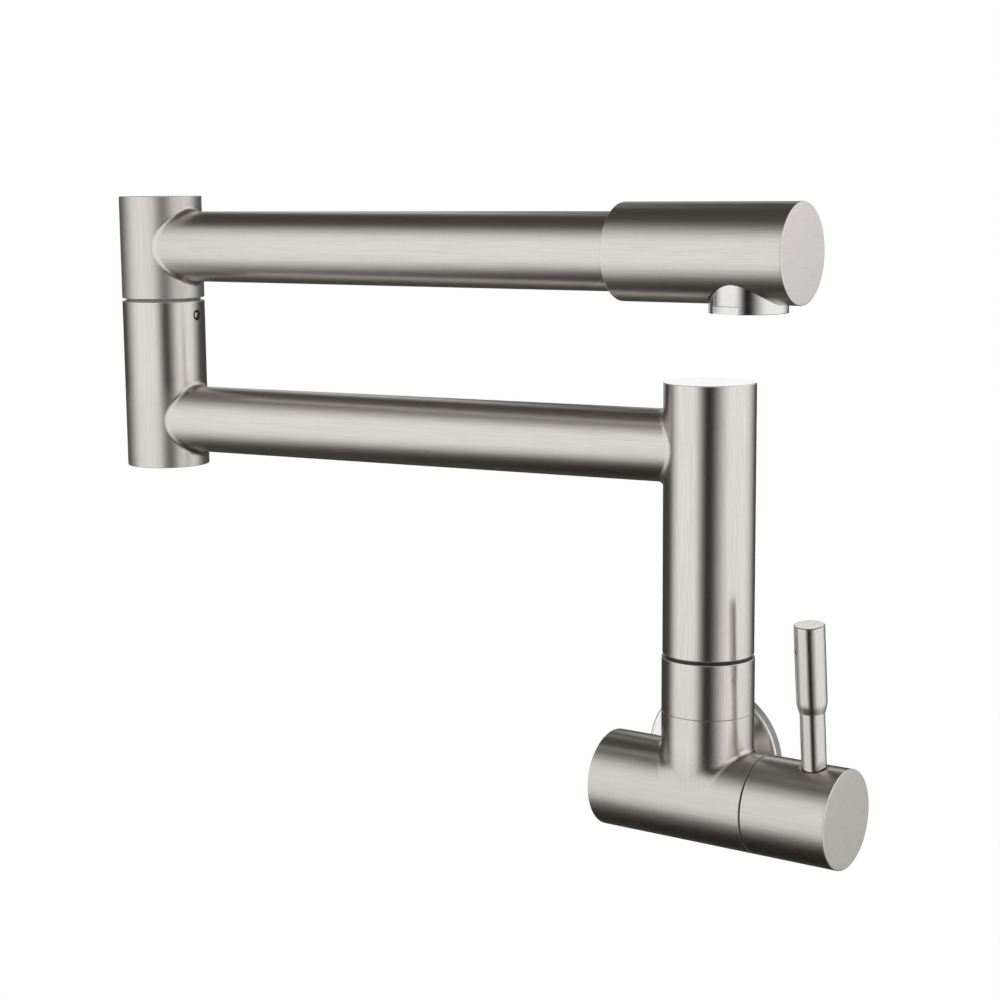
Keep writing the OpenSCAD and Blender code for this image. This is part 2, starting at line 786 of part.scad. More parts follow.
// Saddle that closes the head's hole from inside, with the outlet thread in its well
module outlet_nipple() {
    well_d = outlet_hole_d;
    roof_top = outlet_roof + outlet_roof_t;
    color(brass) at_outlet() difference() {
        union() {
            difference() {
                intersection() {
                    bar_z(saddle_d, -head_d / 2, roof_top);
                    translate([-saddle_d, 0, 0]) rotate([0, 90, 0])
                        cylinder(d = head_bore - 2 * press_fit, h = 2 * saddle_d);
                }
                bar_z(well_d, -head_d, outlet_roof);
            }
            bar_z(outlet_thread_d - 2 * thread_fit, outlet_thread_end, outlet_roof + cut);
        }
        bar_z(nipple_bore_d, -head_d, head_d);
    }
}

module aerator_housing() {
    color(polished) at_outlet() rotate([0, 0, aerator_turn]) difference() {
        translate([0, 0, aerator_bottom]) turned(aerator_d, aerator_top - aerator_bottom);
        bar_z(outlet_thread_d, screen_z, aerator_top + cut);
        bar_z(aerator_lip_bore, aerator_bottom - cut, screen_z + cut);
        for (turn = [0, 180]) rotate([0, 0, turn])
            translate([-aerator_d, aerator_flats / 2, aerator_bottom - cut])
                cube([2 * aerator_d, aerator_d, aerator_drop + cut]);
    }
}

module aerator_washer() {
    color(rubber) at_outlet() translate([0, 0, insert_top])
        ring(insert_d, nipple_bore_d, aerator_washer_t);
}

// Plastic insert with a ring of jets round a blunt cone
module aerator_insert() {
    h = insert_top - insert_z;
    jets = 12;
    jet_mid_r = 7;
    jet_d = 1.6;
    cone_h = 1.5;
    color(white_plastic) at_outlet() translate([0, 0, insert_z]) difference() {
        union() {
            cylinder(d = insert_d, h = h);
            translate([0, 0, h]) cylinder(d1 = jet_mid_r, d2 = jet_mid_r / 3, h = cone_h);
        }
        for (i = [0 : jets - 1]) rotate([0, 0, i * 360 / jets]) translate([jet_mid_r, 0, -cut])
            cylinder(d = jet_d, h = h + 2 * cut);
    }
}

// Outlet screen with hexagonal cells in rings
module aerator_screen() {
    cell_d = (screen_pitch - screen_bar) / cos(30);
    step = screen_pitch;
    color(white_plastic) at_outlet() translate([0, 0, screen_z]) difference() {
        cylinder(d = insert_d, h = screen_t);
        for (q = [-screen_rings : screen_rings]) for (r = [-screen_rings : screen_rings])
            if (abs(q + r) <= screen_rings)
                translate([step * (q + r / 2), step * r * sin(60), -cut])
                    rotate([0, 0, 30]) cylinder(d = cell_d, h = screen_t + 2 * cut, $fn = 6);
    }
}

wall_flange();
flange_ring();
inlet_tail();
inlet_washer();
valve_body();
body_end_plug();
base_collar();
tower_spigot();
tower_o_rings();
tower_slide_ring();
cartridge_bonnet();
bonnet_o_ring();
ceramic_disc_fixed();
cartridge_seat_seal();
handle_cap();
lever_stick();
handle_grub_screw();
cartridge_spindle();
spindle_o_rings();
spindle_clip();
ceramic_disc_moving();
tower_tube();
tower_top_plug();
lower_arm_tube();
elbow_lower_barrel();
elbow_bottom_plug();
swivel_grub_screws();
elbow_upper_barrel();
elbow_top_plug();
elbow_spigot();
elbow_o_rings();
elbow_slide_ring();
upper_arm_tube();
spout_head();
spout_end_disc();
outlet_nipple();
aerator_housing();
aerator_washer();
aerator_insert();
aerator_screen();
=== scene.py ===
# Finish of a wall mounted pot filler in brushed stainless steel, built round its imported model.
# Metres, in the model's own frame: +Y into the wall, +X along the valve body, +Z up.
import json
import math

import bmesh
import bpy
from mathutils import Matrix, Vector


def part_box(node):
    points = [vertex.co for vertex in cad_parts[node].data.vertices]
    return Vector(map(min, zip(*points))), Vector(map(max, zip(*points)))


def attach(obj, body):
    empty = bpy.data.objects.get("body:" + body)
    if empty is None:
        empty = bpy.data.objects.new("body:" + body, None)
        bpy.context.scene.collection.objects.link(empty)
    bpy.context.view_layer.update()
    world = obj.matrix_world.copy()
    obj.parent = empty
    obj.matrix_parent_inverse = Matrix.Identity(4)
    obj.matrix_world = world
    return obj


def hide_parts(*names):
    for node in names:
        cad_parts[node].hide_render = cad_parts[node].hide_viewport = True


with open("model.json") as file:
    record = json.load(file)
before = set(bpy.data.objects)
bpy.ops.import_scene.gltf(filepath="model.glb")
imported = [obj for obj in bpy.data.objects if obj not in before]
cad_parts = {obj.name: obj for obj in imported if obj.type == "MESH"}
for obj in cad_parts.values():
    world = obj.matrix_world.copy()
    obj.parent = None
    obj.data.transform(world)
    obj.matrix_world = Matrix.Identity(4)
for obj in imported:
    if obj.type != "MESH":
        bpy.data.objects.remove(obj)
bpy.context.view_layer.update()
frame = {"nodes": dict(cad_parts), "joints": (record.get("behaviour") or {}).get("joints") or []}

MM = 0.001
ALONG_BODY = Vector((1, 0, 0))
TO_WALL = Vector((0, 1, 0))
UP = Vector((0, 0, 1))
FULL_TURN = 2 * math.pi

# Facets round a turned piece, a slim one and a screw, and along a fillet and a rounded edge
TURN_STEPS = 192
SLIM_STEPS = 96
SCREW_STEPS = 48
FILLET_STEPS = 16
EDGE_STEPS = 4
# Flat that is kept beside a rounded edge, as a multiple of its radius
EDGE_MARGIN = 1.8
# Edges sharper than this are shaded as creases
CREASE_ANGLE = math.radians(34)
# Least lean of a face towards a piece's axis for it to count as an end, and as a rim; most rims take a
# painted highlight
END_LEAN = 0.97
RIM_LEAN = 0.12
# Points nearer than this are one
MERGE_DISTANCE = 1e-7
# Distance past a tube's surface from which a face belongs to the tube that stands on it
FACE_MARGIN = 0.1 * MM

# Rounded edges of the finished pieces
TUBE_EDGE = 0.3 * MM
SEAM_EDGE = 0.28 * MM
FACE_EDGE = 0.4 * MM
FLANGE_EDGE = 0.9 * MM
LEVER_EDGE = 0.45 * MM
INNER_EDGE = 0.12 * MM
# Ground welds where one tube meets another: radius in the corner, and where the tubes run together
LOWER_ARM_WELD = (2.6 * MM, 5 * MM)
UPPER_ARM_WELD = (2.4 * MM, 5 * MM)
STUB_WELD = (2.2 * MM, 22 * MM)
NECK_WELD = (1.6 * MM, 2 * MM)
# How late round the branch a weld swells from the first radius to the second
WELD_SWELL = 8
# Depth to which a weld's edge is bedded in the tube that it lands on
WELD_BED = 0.2 * MM
# Walls of the tubes, and discs that close their ends
ARM_WALL = 1.5 * MM
HEAD_WALL = 2 * MM
AERATOR_WALL = 2.5 * MM
UPRIGHT_BORE_R = 15.5 * MM
END_DISC = 2.5 * MM
# Bottom of the lever's seat in the cap, from the cap's axis
LEVER_SEAT = 17.4 * MM
LEVER_LEAN = math.radians(5.8)


# Frame of the model

def span(node, along, origin=Vector()):
    """Lowest and highest reach of a CAD node along a direction from a point"""
    reach = [along.dot(vertex.co - origin) for vertex in frame["nodes"][node].data.vertices]
    return min(reach), max(reach)


def middle(node):
    low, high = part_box(node)
    return (low + high) / 2


def width(node, axis):
    low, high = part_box(node)
    return high[axis] - low[axis]


def local_frame(origin, along, side):
    """Matrix of a frame at origin with its Z along one direction and its X towards another"""
    z = along.normalized()
    y = z.cross(side).normalized()
    x = y.cross(z)
    return Matrix.Translation(origin) @ Matrix((x, y, z)).transposed().to_4x4()


pivots = {joint["name"]: Vector(joint["pos_m"]) for joint in frame["joints"]}
tower_foot = Vector((pivots["tower_swivel"].x, pivots["tower_swivel"].y, 0))
elbow_foot = Vector((pivots["elbow_swivel"].x, pivots["elbow_swivel"].y, 0))
lever_foot = pivots["lever_turn"]
body_y = lever_foot.y

lower_arm_z = middle("lower_arm_tube").z
upper_arm_z = middle("upper_arm_tube").z
outlet_foot = middle("aerator_screen")
outlet_foot.z = upper_arm_z

lower_arm_way = (elbow_foot - tower_foot).normalized()
upper_arm_way = (outlet_foot - elbow_foot - UP * upper_arm_z).normalized()
lever_way = Vector((0, -math.sin(LEVER_LEAN), math.cos(LEVER_LEAN)))
arm_reach = (elbow_foot - tower_foot).length

inlet_frame = local_frame(Vector(), TO_WALL, UP)
body_frame = local_frame(Vector((0, body_y, 0)), ALONG_BODY, UP)
tower_frame = local_frame(tower_foot, UP, lower_arm_way)
elbow_frame = local_frame(elbow_foot, UP, -lower_arm_way)
lower_arm_frame = local_frame(tower_foot + UP * lower_arm_z, lower_arm_way, UP)
upper_arm_frame = local_frame(elbow_foot + UP * upper_arm_z, upper_arm_way, UP)
outlet_frame = local_frame(outlet_foot, UP, upper_arm_way)
lever_frame = local_frame(lever_foot, lever_way, ALONG_BODY)

body_r = width("handle_cap", 2) / 2
stub_r = width("base_collar", 0) / 2
tower_r = width("tower_tube", 0) / 2
lower_arm_r = width("lower_arm_tube", 2) / 2
upper_arm_r = width("upper_arm_tube", 2) / 2
head_r = width("spout_end_disc", 2) / 2
neck_r = width("inlet_tail", 2) / 2
flange_r = width("wall_flange", 2) / 2
aerator_r = width("aerator_screen", 0) / 2 + AERATOR_WALL


# Mesh making

def outline(bm, corners, closed):
    """Wire through (radius, height, rounding) corners, with the rounded ones bevelled"""
    points = []
    rounded = []
    for number, (radius, height, rounding) in enumerate(corners):
        here = Vector((radius, 0, height))
        beside = [corners[number - 1], corners[(number + 1) % len(corners)]]
        margins = [here + (Vector((r, 0, h)) - here).normalized() * rounding * EDGE_MARGIN
                   for r, h, _ in beside]
        if rounding:
            corner = bm.verts.new(here)
            points += [bm.verts.new(margins[0]), corner, bm.verts.new(margins[1])]
            rounded.append((corner, rounding))
        else:
            points.append(bm.verts.new(here))
    ends = points[1:] + points[:1] if closed else points[1:]
    for start, end in zip(points, ends):
        bm.edges.new((start, end))
    for corner, rounding in rounded:
        bmesh.ops.bevel(bm, geom=[corner], offset=rounding, offset_type="OFFSET",
                        segments=EDGE_STEPS, profile=0.5, affect="VERTICES", material=-1)


def turned(place, corners, closed=False, steps=TURN_STEPS):
    """Mesh of an outline of (radius, height, rounding) corners spun round a frame's Z"""
    bm = bmesh.new()
    outline(bm, corners, closed)
    bmesh.ops.spin(bm, geom=bm.verts[:] + bm.edges[:], cent=(0, 0, 0), axis=(0, 0, 1),
                   angle=FULL_TURN, steps=steps, use_merge=True)
    bmesh.ops.remove_doubles(bm, verts=bm.verts[:], dist=MERGE_DISTANCE)
    bm.transform(place)
    return bm


def ring_edges(ring):
    inside = set(ring)
    return [edge for edge in {e for v in ring for e in v.link_edges}
            if edge.verts[0] in inside and edge.verts[1] in inside]


def skin(place, rings, closed):
    """Mesh through rings, each a rule for its point at an angle; closed joins the last to the first"""
    bm = bmesh.new()
    angle_of = bm.verts.layers.float.new("angle")
    ring = bmesh.ops.create_circle(bm, segments=TURN_STEPS, radius=1)["verts"]
    for vertex in ring:
        vertex[angle_of] = math.atan2(vertex.co.y, vertex.co.x)
    first = ring
    for number, rule in enumerate(rings):
        if number:
            grown = bmesh.ops.extrude_edge_only(bm, edges=ring_edges(ring))["geom"]
            ring = [item for item in grown if isinstance(item, bmesh.types.BMVert)]
        for vertex in ring:
            vertex.co = rule(vertex[angle_of])
    if closed:
        bmesh.ops.bridge_loops(bm, edges=ring_edges(first) + ring_edges(ring))
    else:
        bmesh.ops.holes_fill(bm, edges=bm.edges[:], sides=0)
    bm.transform(place)
    return bm


def plain_ring(radius, height):
    return lambda angle: Vector((radius * math.cos(angle), radius * math.sin(angle), height))


def saddle_ring(trunk_r, radius, turn_back=None):
    """Ring round a branch where it meets a trunk of radius trunk_r, whose axis is local X"""
    def rule(angle):
        x = radius * math.cos(angle)
        y = radius * math.sin(angle)
        height = math.sqrt(trunk_r ** 2 - y ** 2)
        return Vector((x, y, height if turn_back is None else turn_back - height))
    return rule


def weld_rings(trunk_r, branch_r, welds, turn_back=None):
    """Rings of a fillet rolled between a branch and its trunk, from the branch to the trunk"""
    def at(share):
        def rule(angle):
            weld = welds[0] + (welds[1] - welds[0]) * math.sin(angle) ** WELD_SWELL
            x = (branch_r + weld) * math.cos(angle)
            y = (branch_r + weld) * math.sin(angle)
            ball = Vector((x, y, math.sqrt((trunk_r + weld) ** 2 - y ** 2)))
            on_branch = Vector((branch_r * math.cos(angle), branch_r * math.sin(angle), ball.z))
            shrink = trunk_r / (trunk_r + weld)
            on_trunk = Vector((x, ball.y * shrink, ball.z * shrink))
            point = ball + weld * (on_branch - ball).slerp(on_trunk - ball, share)
            return point if turn_back is None else Vector((point.x, point.y, turn_back - point.z))
        return rule
    rings = [at(step / FILLET_STEPS) for step in range(FILLET_STEPS + 1)]
    return rings + [bedded(at(1), trunk_r, turn_back)]


def bedded(rule, trunk_r, turn_back):
    """The last ring of a weld, sunk just under the trunk's surface"""
    share = 1 - WELD_BED / trunk_r

    def sunk(angle):
        point = rule(angle)
        depth = point.z if turn_back is None else turn_back - point.z
        height = depth * share
        return Vector((point.x, point.y * share, height if turn_back is None else turn_back - height))
    return sunk


def joined(*meshes):
    """One bmesh of several, each a closed shell"""
    whole = bmesh.new()
    for bm in meshes:
        part = bpy.data.meshes.new("part")
        bm.to_mesh(part)
        bm.free()
        whole.from_mesh(part)
        bpy.data.meshes.remove(part)
    return whole


def carved(bm, *cutters):
    """The bmesh with the cutters' volumes taken out"""
    blanks = []
    for shape in (bm, joined(*cutters)):
        bmesh.ops.recalc_face_normals(shape, faces=shape.faces[:])
        mesh = bpy.data.meshes.new("blank")
        shape.to_mesh(mesh)
        shape.free()
        blank = bpy.data.objects.new("blank", mesh)
        bpy.context.scene.collection.objects.link(blank)
        blanks.append(blank)
    work, tool = blanks
    cut = work.modifiers.new("cut", "BOOLEAN")
    cut.object = tool
    cut.operation = "DIFFERENCE"
    cut.solver = "EXACT"
    result = bmesh.new()
    result.from_object(work, bpy.context.evaluated_depsgraph_get())
    for blank in blanks:
        bpy.data.objects.remove(blank)
    return result


def prism(place, radius, low, high, sides=SLIM_STEPS):
    """Upright prism or cylinder between two heights of a frame"""
    bm = bmesh.new()
    centre = Matrix.Translation((0, 0, (low + high) / 2))
    bmesh.ops.create_cone(bm, cap_ends=True, segments=sides, radius1=radius, radius2=radius,
                          depth=high - low, matrix=place @ centre)
    return bm


def block(place, low, high):
    """Box between two corners of a frame"""
    bm = bmesh.new()
    low = Vector(low)
    high = Vector(high)
    scale = Matrix.Diagonal((*(high - low), 1))
    bmesh.ops.create_cube(bm, size=1, matrix=place @ Matrix.Translation((low + high) / 2) @ scale)
    return bm


def piece(name, bm, body, replaced, materials, choose=None):
    """Object from a bmesh, riding on a body in place of CAD nodes; choose gives a face's material"""
    bmesh.ops.recalc_face_normals(bm, faces=bm.faces[:])
    for face in bm.faces:
        face.smooth = True
        face.material_index = choose(face) if choose else 0
    for edge in bm.edges:
        edge.smooth = len(edge.link_faces) == 2 and edge.calc_face_angle() < CREASE_ANGLE
    mesh = bpy.data.meshes.new(name)
    bm.to_mesh(mesh)
    bm.free()
    for material in materials:
        mesh.materials.append(material)
    made = bpy.data.objects.new(name, mesh)
    bpy.context.scene.collection.objects.link(made)
    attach(made, body)
    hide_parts(*replaced)
    return made


def faces_along(way, rims_from=-math.inf):
    """Rule that numbers sides 0, ends square to a direction 1 and rims past a point along it 2"""
    def choose(face):
        lean = abs(face.normal.dot(way))
        if lean > END_LEAN:
            return 1
        return 2 if lean > RIM_LEAN and face.calc_center_median().dot(way) > rims_from else 0
    return choose


# Shader making

class Value:
    """Output of a shader node; Python's operators on it add Math nodes"""

    def __init__(self, graph, socket):
        self.graph = graph
        self.socket = socket

    def __add__(self, other):
        return self.graph.math("ADD", self, other)

    def __sub__(self, other):
        return self.graph.math("SUBTRACT", self, other)

    def __mul__(self, other):
        return self.graph.math("MULTIPLY", self, other)

    def __truediv__(self, other):
        return self.graph.math("DIVIDE", self, other)

    def __radd__(self, other):
        return self.graph.math("ADD", other, self)

    def __rsub__(self, other):
        return self.graph.math("SUBTRACT", other, self)

    def __rmul__(self, other):
        return self.graph.math("MULTIPLY", other, self)

    def __rtruediv__(self, other):
        return self.graph.math("DIVIDE", other, self)


class Graph:
    """Node tree that is written as expressions"""

    def __init__(self, tree):
        tree.nodes.clear()
        self.tree = tree

    def node(self, kind, settings, inputs, output=0):
        """Adds a node: its settings first, then the values or links of its sockets"""
        made = self.tree.nodes.new(kind)
        for key, value in settings.items():
            setattr(made, key, value)
        for key, value in inputs.items():
            if isinstance(value, Value):
                self.tree.links.new(value.socket, made.inputs[key])
            else:
                made.inputs[key].default_value = value
        return Value(self, made.outputs[output]) if made.outputs else None

    def math(self, operation, *values):
        return self.node("ShaderNodeMath", {"operation": operation}, dict(enumerate(values)))

    def local(self, place):
        """Position in a frame of the piece"""
        position = self.node("ShaderNodeTexCoord", {}, {}, "Object")
        return self.node("ShaderNodeMapping", {"vector_type": "TEXTURE"}, {
            "Vector": position, "Location": place.to_translation(), "Rotation": place.to_euler()})

    def split(self, vector):
        """X, Y and Z of a vector"""
        return [self.node("ShaderNodeSeparateXYZ", {}, {"Vector": vector}, axis) for axis in range(3)]

    def stretched(self, vector, scales):
        return self.node("ShaderNodeVectorMath", {"operation": "MULTIPLY"}, {0: vector, 1: scales})

    def noise(self, vector, detail=2.0, roughness=0.5):
        return self.node("ShaderNodeTexNoise", {}, {
            "Vector": vector, "Scale": 1.0, "Detail": detail, "Roughness": roughness})

    def blend(self, factor, first, second):
        """Mix of two colours"""
        return self.node("ShaderNodeMix", {"data_type": "RGBA"}, {0: factor, 6: first, 7: second}, 2)

    def smooth_step(self, value, low, high):
        """0 below low, 1 above high, and a soft rise between"""
        return self.node("ShaderNodeMapRange", {"interpolation_type": "SMOOTHSTEP"}, {
            "Value": value, "From Min": low, "From Max": high, "To Min": 0.0, "To Max": 1.0})

    def band(self, value, rise, fall):
        """0, softly up to 1 over one stretch of values, and softly down to 0 over another"""
        return self.smooth_step(value, *rise) * (1 - self.smooth_step(value, *fall))

    def larger(self, first, second):
        return self.math("MAXIMUM", first, second)


def new_material(name):
    material = bpy.data.materials.new(name)
    material.use_nodes = True
    return material, Graph(material.node_tree)


def surface(graph, inputs, bump, depth, duller=0.0, share=0.0):
    """Principled surface with a relief of a depth; a share of it may be rougher by duller"""
    inputs["Normal"] = graph.node("ShaderNodeBump", {}, {
        "Height": bump, "Distance": depth, "Strength": 1.0})
    shader = graph.node("ShaderNodeBsdfPrincipled", {}, inputs)
    if duller:
        rougher = {**inputs, "Roughness": inputs["Roughness"] + duller}
        rough = graph.node("ShaderNodeBsdfPrincipled", {}, rougher)
        shader = graph.node("ShaderNodeMixShader", {}, {0: share, 1: shader, 2: rough})
    graph.node("ShaderNodeOutputMaterial", {}, {"Surface": shader})


STEEL_LIGHT = (0.750, 0.722, 0.690, 1)
STEEL_DARK = (0.680, 0.652, 0.620, 1)
BODY_LIGHT = (0.690, 0.664, 0.635, 1)
BODY_DARK = (0.625, 0.600, 0.570, 1)
HEAD_FACE_LIGHT = (0.80, 0.76, 0.735, 1)
HEAD_FACE_DARK = (0.745, 0.71, 0.685, 1)
# Darker steel: painted shade on the flange's side wall and in the aerator's grooves
PAINTED_SHADE_LIGHT = (0.46, 0.44, 0.42, 1)
PAINTED_SHADE_DARK = (0.38, 0.36, 0.345, 1)
FLANGE_LIGHT = (0.93, 0.92, 0.905, 1)
FLANGE_DARK = (0.86, 0.85, 0.835, 1)
# Near-white steel: a painted highlight on rounded rims and on the end faces of the tower and the collar
PAINTED_HIGHLIGHT_LIGHT = (0.955, 0.950, 0.945, 1)
PAINTED_HIGHLIGHT_DARK = (0.925, 0.920, 0.912, 1)
POLISHED_LIGHT = (0.84, 0.83, 0.815, 1)
POLISHED_DARK = (0.78, 0.765, 0.745, 1)
SCREW_LIGHT = (0.78, 0.77, 0.76, 1)
SCREW_DARK = (0.66, 0.65, 0.64, 1)
BRASS_LIGHT = (0.76, 0.58, 0.29, 1)
BRASS_DARK = (0.66, 0.48, 0.22, 1)

# Marks per metre across and along each finish, in X, Y and Z of the frame that it follows
STROKES = (3300, 3300, 55)
HAIRS = (900, 900, 14)
RINGS = (120, 120, 4300)
FACE_STROKES = (3200, 160, 3200)
TOOL_LINES = (90, 90, 4200)
STAINS = (130, 130, 130)
CLOUDS = (170, 170, 170)
# Relief of each finish
BRUSHED_RELIEF = 0.0022 * MM
FACE_RELIEF = 0.002 * MM
TURNED_RELIEF = 0.004 * MM


def brushed_steel(name, place, roughness=0.205, light=STEEL_LIGHT, dark=STEEL_DARK, ground=None):
    """Satin stainless tube: strokes along a frame's Z, fainter lines round it

    ground is for steel that was ground by hand under a height of the frame: the height, the
    length over which it fades, its least share, its extra roughness and its two colours
    """
    material, graph = new_material(name)
    spot = graph.local(place)
    strokes = graph.noise(graph.stretched(spot, STROKES), 2.0, 0.6)
    hairs = graph.noise(graph.stretched(spot, HAIRS), 1.0)
    rings = graph.noise(graph.stretched(spot, RINGS), 2.0, 0.6)
    grain = strokes * 0.60 + hairs * 0.20 + rings * 0.20
    tone = graph.smooth_step(grain, 0.38, 0.62)
    colour = graph.blend(tone, dark, light)
    duller = 0.0
    share = 0.0
    if ground is not None:
        under, fade, least, duller, ground_light, ground_dark = ground
        share = 1 - (1 - least) * graph.smooth_step(graph.split(spot)[2], under, under + fade)
        colour = graph.blend(share, colour, graph.blend(tone, ground_dark, ground_light))
    surface(graph, {
        "Base Color": colour,
        "Metallic": 1.0,
        "Roughness": roughness + 0.012 - 0.024 * tone,
    }, strokes * 0.75 + rings * 0.25, BRUSHED_RELIEF, duller, share)
    return material


def faced_steel(name, place, light=STEEL_LIGHT, dark=STEEL_DARK, roughness=0.30):
    """Flat end face, rubbed matt with short strokes one way"""
    material, graph = new_material(name)
    strokes = graph.noise(graph.stretched(graph.local(place), FACE_STROKES), 2.0, 0.6)
    tone = graph.smooth_step(strokes, 0.30, 0.70)
    surface(graph, {
        "Base Color": graph.blend(tone, dark, light),
        "Metallic": 1.0,
        "Roughness": roughness + 0.02 - 0.04 * tone,
    }, strokes, FACE_RELIEF)
    return material


def turned_metal(name, place, light, dark, roughness):
    """Turned bar with fine tool lines round a frame's Z"""
    material, graph = new_material(name)
    spot = graph.local(place)
    lines = graph.noise(graph.stretched(spot, TOOL_LINES), 2.0, 0.6)
    stains = graph.noise(graph.stretched(spot, STAINS), 2.0)
    tone = graph.smooth_step(lines * 0.6 + stains * 0.4, 0.35, 0.65)
    surface(graph, {
        "Base Color": graph.blend(tone, dark, light),
        "Metallic": 1.0,
        "Roughness": roughness + 0.05 - 0.10 * tone,
    }, lines, TURNED_RELIEF)
    return material


def moulded(name, light, dark, roughness, pits_per_metre=1800, relief=0.01 * MM, coat=0.0, shine=0.5):
    """Moulded rubber, plastic or pressed ceramic with a fine pitted skin"""
    material, graph = new_material(name)
    spot = graph.node("ShaderNodeTexCoord", {}, {}, "Object")
    pits = graph.noise(graph.stretched(spot, (pits_per_metre,) * 3), 3.0, 0.6)
    clouds = graph.noise(graph.stretched(spot, CLOUDS), 2.0)
    tone = graph.smooth_step(pits * 0.5 + clouds * 0.5, 0.34, 0.66)
    surface(graph, {
        "Base Color": graph.blend(tone, dark, light),
        "Roughness": roughness + 0.04 - 0.08 * tone,
        "Coat Weight": coat,
        "Specular IOR Level": shine,
    }, pits, relief)
    return material


# Ground by hand near the weld of the lower arm, and where the stub runs into the valve body
ELBOW_GRIND = (lower_arm_z + 6 * MM, 12 * MM, 0.3, 0.15, STEEL_LIGHT, STEEL_DARK)
STUB_GRIND = (8 * MM, 15 * MM, 0.0, 0.08, BODY_LIGHT, BODY_DARK)

upright_steel = brushed_steel("steel_upright", tower_frame)
body_steel = brushed_steel("steel_body", body_frame, 0.29, BODY_LIGHT, BODY_DARK)
neck_steel = brushed_steel("steel_neck", inlet_frame)
elbow_steel = brushed_steel("steel_elbow", elbow_frame, 0.19, ground=ELBOW_GRIND)
stub_steel = brushed_steel("steel_stub", tower_frame, 0.21, ground=STUB_GRIND)
elbow_top_steel = brushed_steel("steel_elbow_top", elbow_frame, 0.38)
lower_arm_steel = brushed_steel("steel_lower_arm", lower_arm_frame, 0.29)
upper_arm_steel = brushed_steel("steel_upper_arm", upper_arm_frame, 0.29)
lever_steel = brushed_steel("steel_lever", lever_frame, 0.175)
# End faces of the tower and the collar: near-white glossy steel, a painted highlight
top_face_highlight_steel = faced_steel("steel_top_face_painted_highlight", tower_frame, PAINTED_HIGHLIGHT_LIGHT, PAINTED_HIGHLIGHT_DARK, 0.09)
elbow_face_steel = faced_steel("steel_elbow_face", elbow_frame)
end_face_steel = faced_steel("steel_end_face", body_frame)
head_face_steel = faced_steel("steel_head_face", upper_arm_frame, HEAD_FACE_LIGHT, HEAD_FACE_DARK)
lever_face_steel = faced_steel("steel_lever_face", lever_frame, STEEL_LIGHT, STEEL_DARK, 0.13)
flange_steel = turned_metal("steel_flange", inlet_frame, FLANGE_LIGHT, FLANGE_DARK, 0.22)
# Rounded rims: bright rough steel that paints a light highlight line along the edges
rim_highlight_steel = turned_metal("steel_rim_painted_highlight", inlet_frame, PAINTED_HIGHLIGHT_LIGHT, PAINTED_HIGHLIGHT_DARK, 0.40)
# Painted shade: a darker copy of the turned steel
painted_shade_steel = turned_metal("steel_painted_shade", inlet_frame, PAINTED_SHADE_LIGHT, PAINTED_SHADE_DARK, 0.34)
aerator_steel = turned_metal("steel_polished", outlet_frame, POLISHED_LIGHT, POLISHED_DARK, 0.14)
screw_steel = turned_metal("steel_screw", body_frame, SCREW_LIGHT, SCREW_DARK, 0.24)
inlet_brass = turned_metal("brass_inlet", inlet_frame, BRASS_LIGHT, BRASS_DARK, 0.30)
upright_brass = turned_metal("brass_upright", tower_frame, BRASS_LIGHT, BRASS_DARK, 0.28)
body_brass = turned_metal("brass_headwork", body_frame, BRASS_LIGHT, BRASS_DARK, 0.28)
seal_rubber = moulded("rubber_black", (0.045, 0.045, 0.045, 1), (0.028, 0.028, 0.028, 1), 0.55)
ring_plastic = moulded("plastic_black", (0.030, 0.029, 0.028, 1), (0.018, 0.018, 0.018, 1), 0.42)
# Near-black: painted shade on the screws' shoulders round their noses, standing for the shadowed gap to
# the hole
painted_gap_shade = moulded("painted_gap_shade", (0.012, 0.011, 0.010, 1), (0.008, 0.008, 0.007, 1), 0.7, shine=0.05)
# Grey: painted shade on the elbow's white plastic slide ring, for the shade in its gap
gap_shade_plastic = moulded("plastic_grey_painted_shade", (0.30, 0.30, 0.305, 1), (0.24, 0.24, 0.245, 1), 0.40)
white_plastic = moulded("plastic_white", (0.80, 0.80, 0.79, 1), (0.72, 0.72, 0.71, 1), 0.38)
disc_ceramic = moulded("ceramic", (0.88, 0.86, 0.81, 1), (0.82, 0.80, 0.75, 1), 0.22,
                       pits_per_metre=900, relief=0.004 * MM, coat=0.3)


# Wall flange and inlet

def make_flange():
    front, back = span("wall_flange", TO_WALL)
    clearance = 0.2 * MM
    hole_r = neck_r + clearance
    sheet = 1.2 * MM
    shell = turned(inlet_frame, [
        (hole_r, front, INNER_EDGE),
        (flange_r, front, FLANGE_EDGE),
        (flange_r, back, INNER_EDGE),
        (flange_r - sheet, back, INNER_EDGE),
        (flange_r - sheet, front + sheet, 0),
        (hole_r, front + sheet, INNER_EDGE),
    ], closed=True)
    # The sides take the darker steel as painted shade, and the rounded edge takes the near-white steel
    # as a painted highlight
    return piece("cover_flange", shell, "valve", ["wall_flange"],
                 [painted_shade_steel, flange_steel, rim_highlight_steel], faces_along(TO_WALL))


def make_inlet_tail():
    low, high = span("inlet_tail", TO_WALL)
    crest_r = 10.4775 * MM
    pitch = 1.814 * MM
    depth_share = 0.64
    root_r = crest_r - depth_share * pitch
    bore_r = 7 * MM
    shoulder = -8 * MM
    tail = turned(inlet_frame, [
        (bore_r, low, INNER_EDGE),
        (crest_r, low, 3 * INNER_EDGE),
        (crest_r, shoulder, 0),
        (neck_r, shoulder, INNER_EDGE),
        (neck_r, 0, INNER_EDGE),
        (root_r, 0, 0),
        (root_r, high, 2 * INNER_EDGE),
        (bore_r, high, 3 * INNER_EDGE),
    ], closed=True)
    ridge = thread(inlet_frame, root_r, crest_r, pitch, high)
    return piece("inlet_tail_threaded", joined(tail, ridge), "valve",
                 ["inlet_tail"], [inlet_brass])


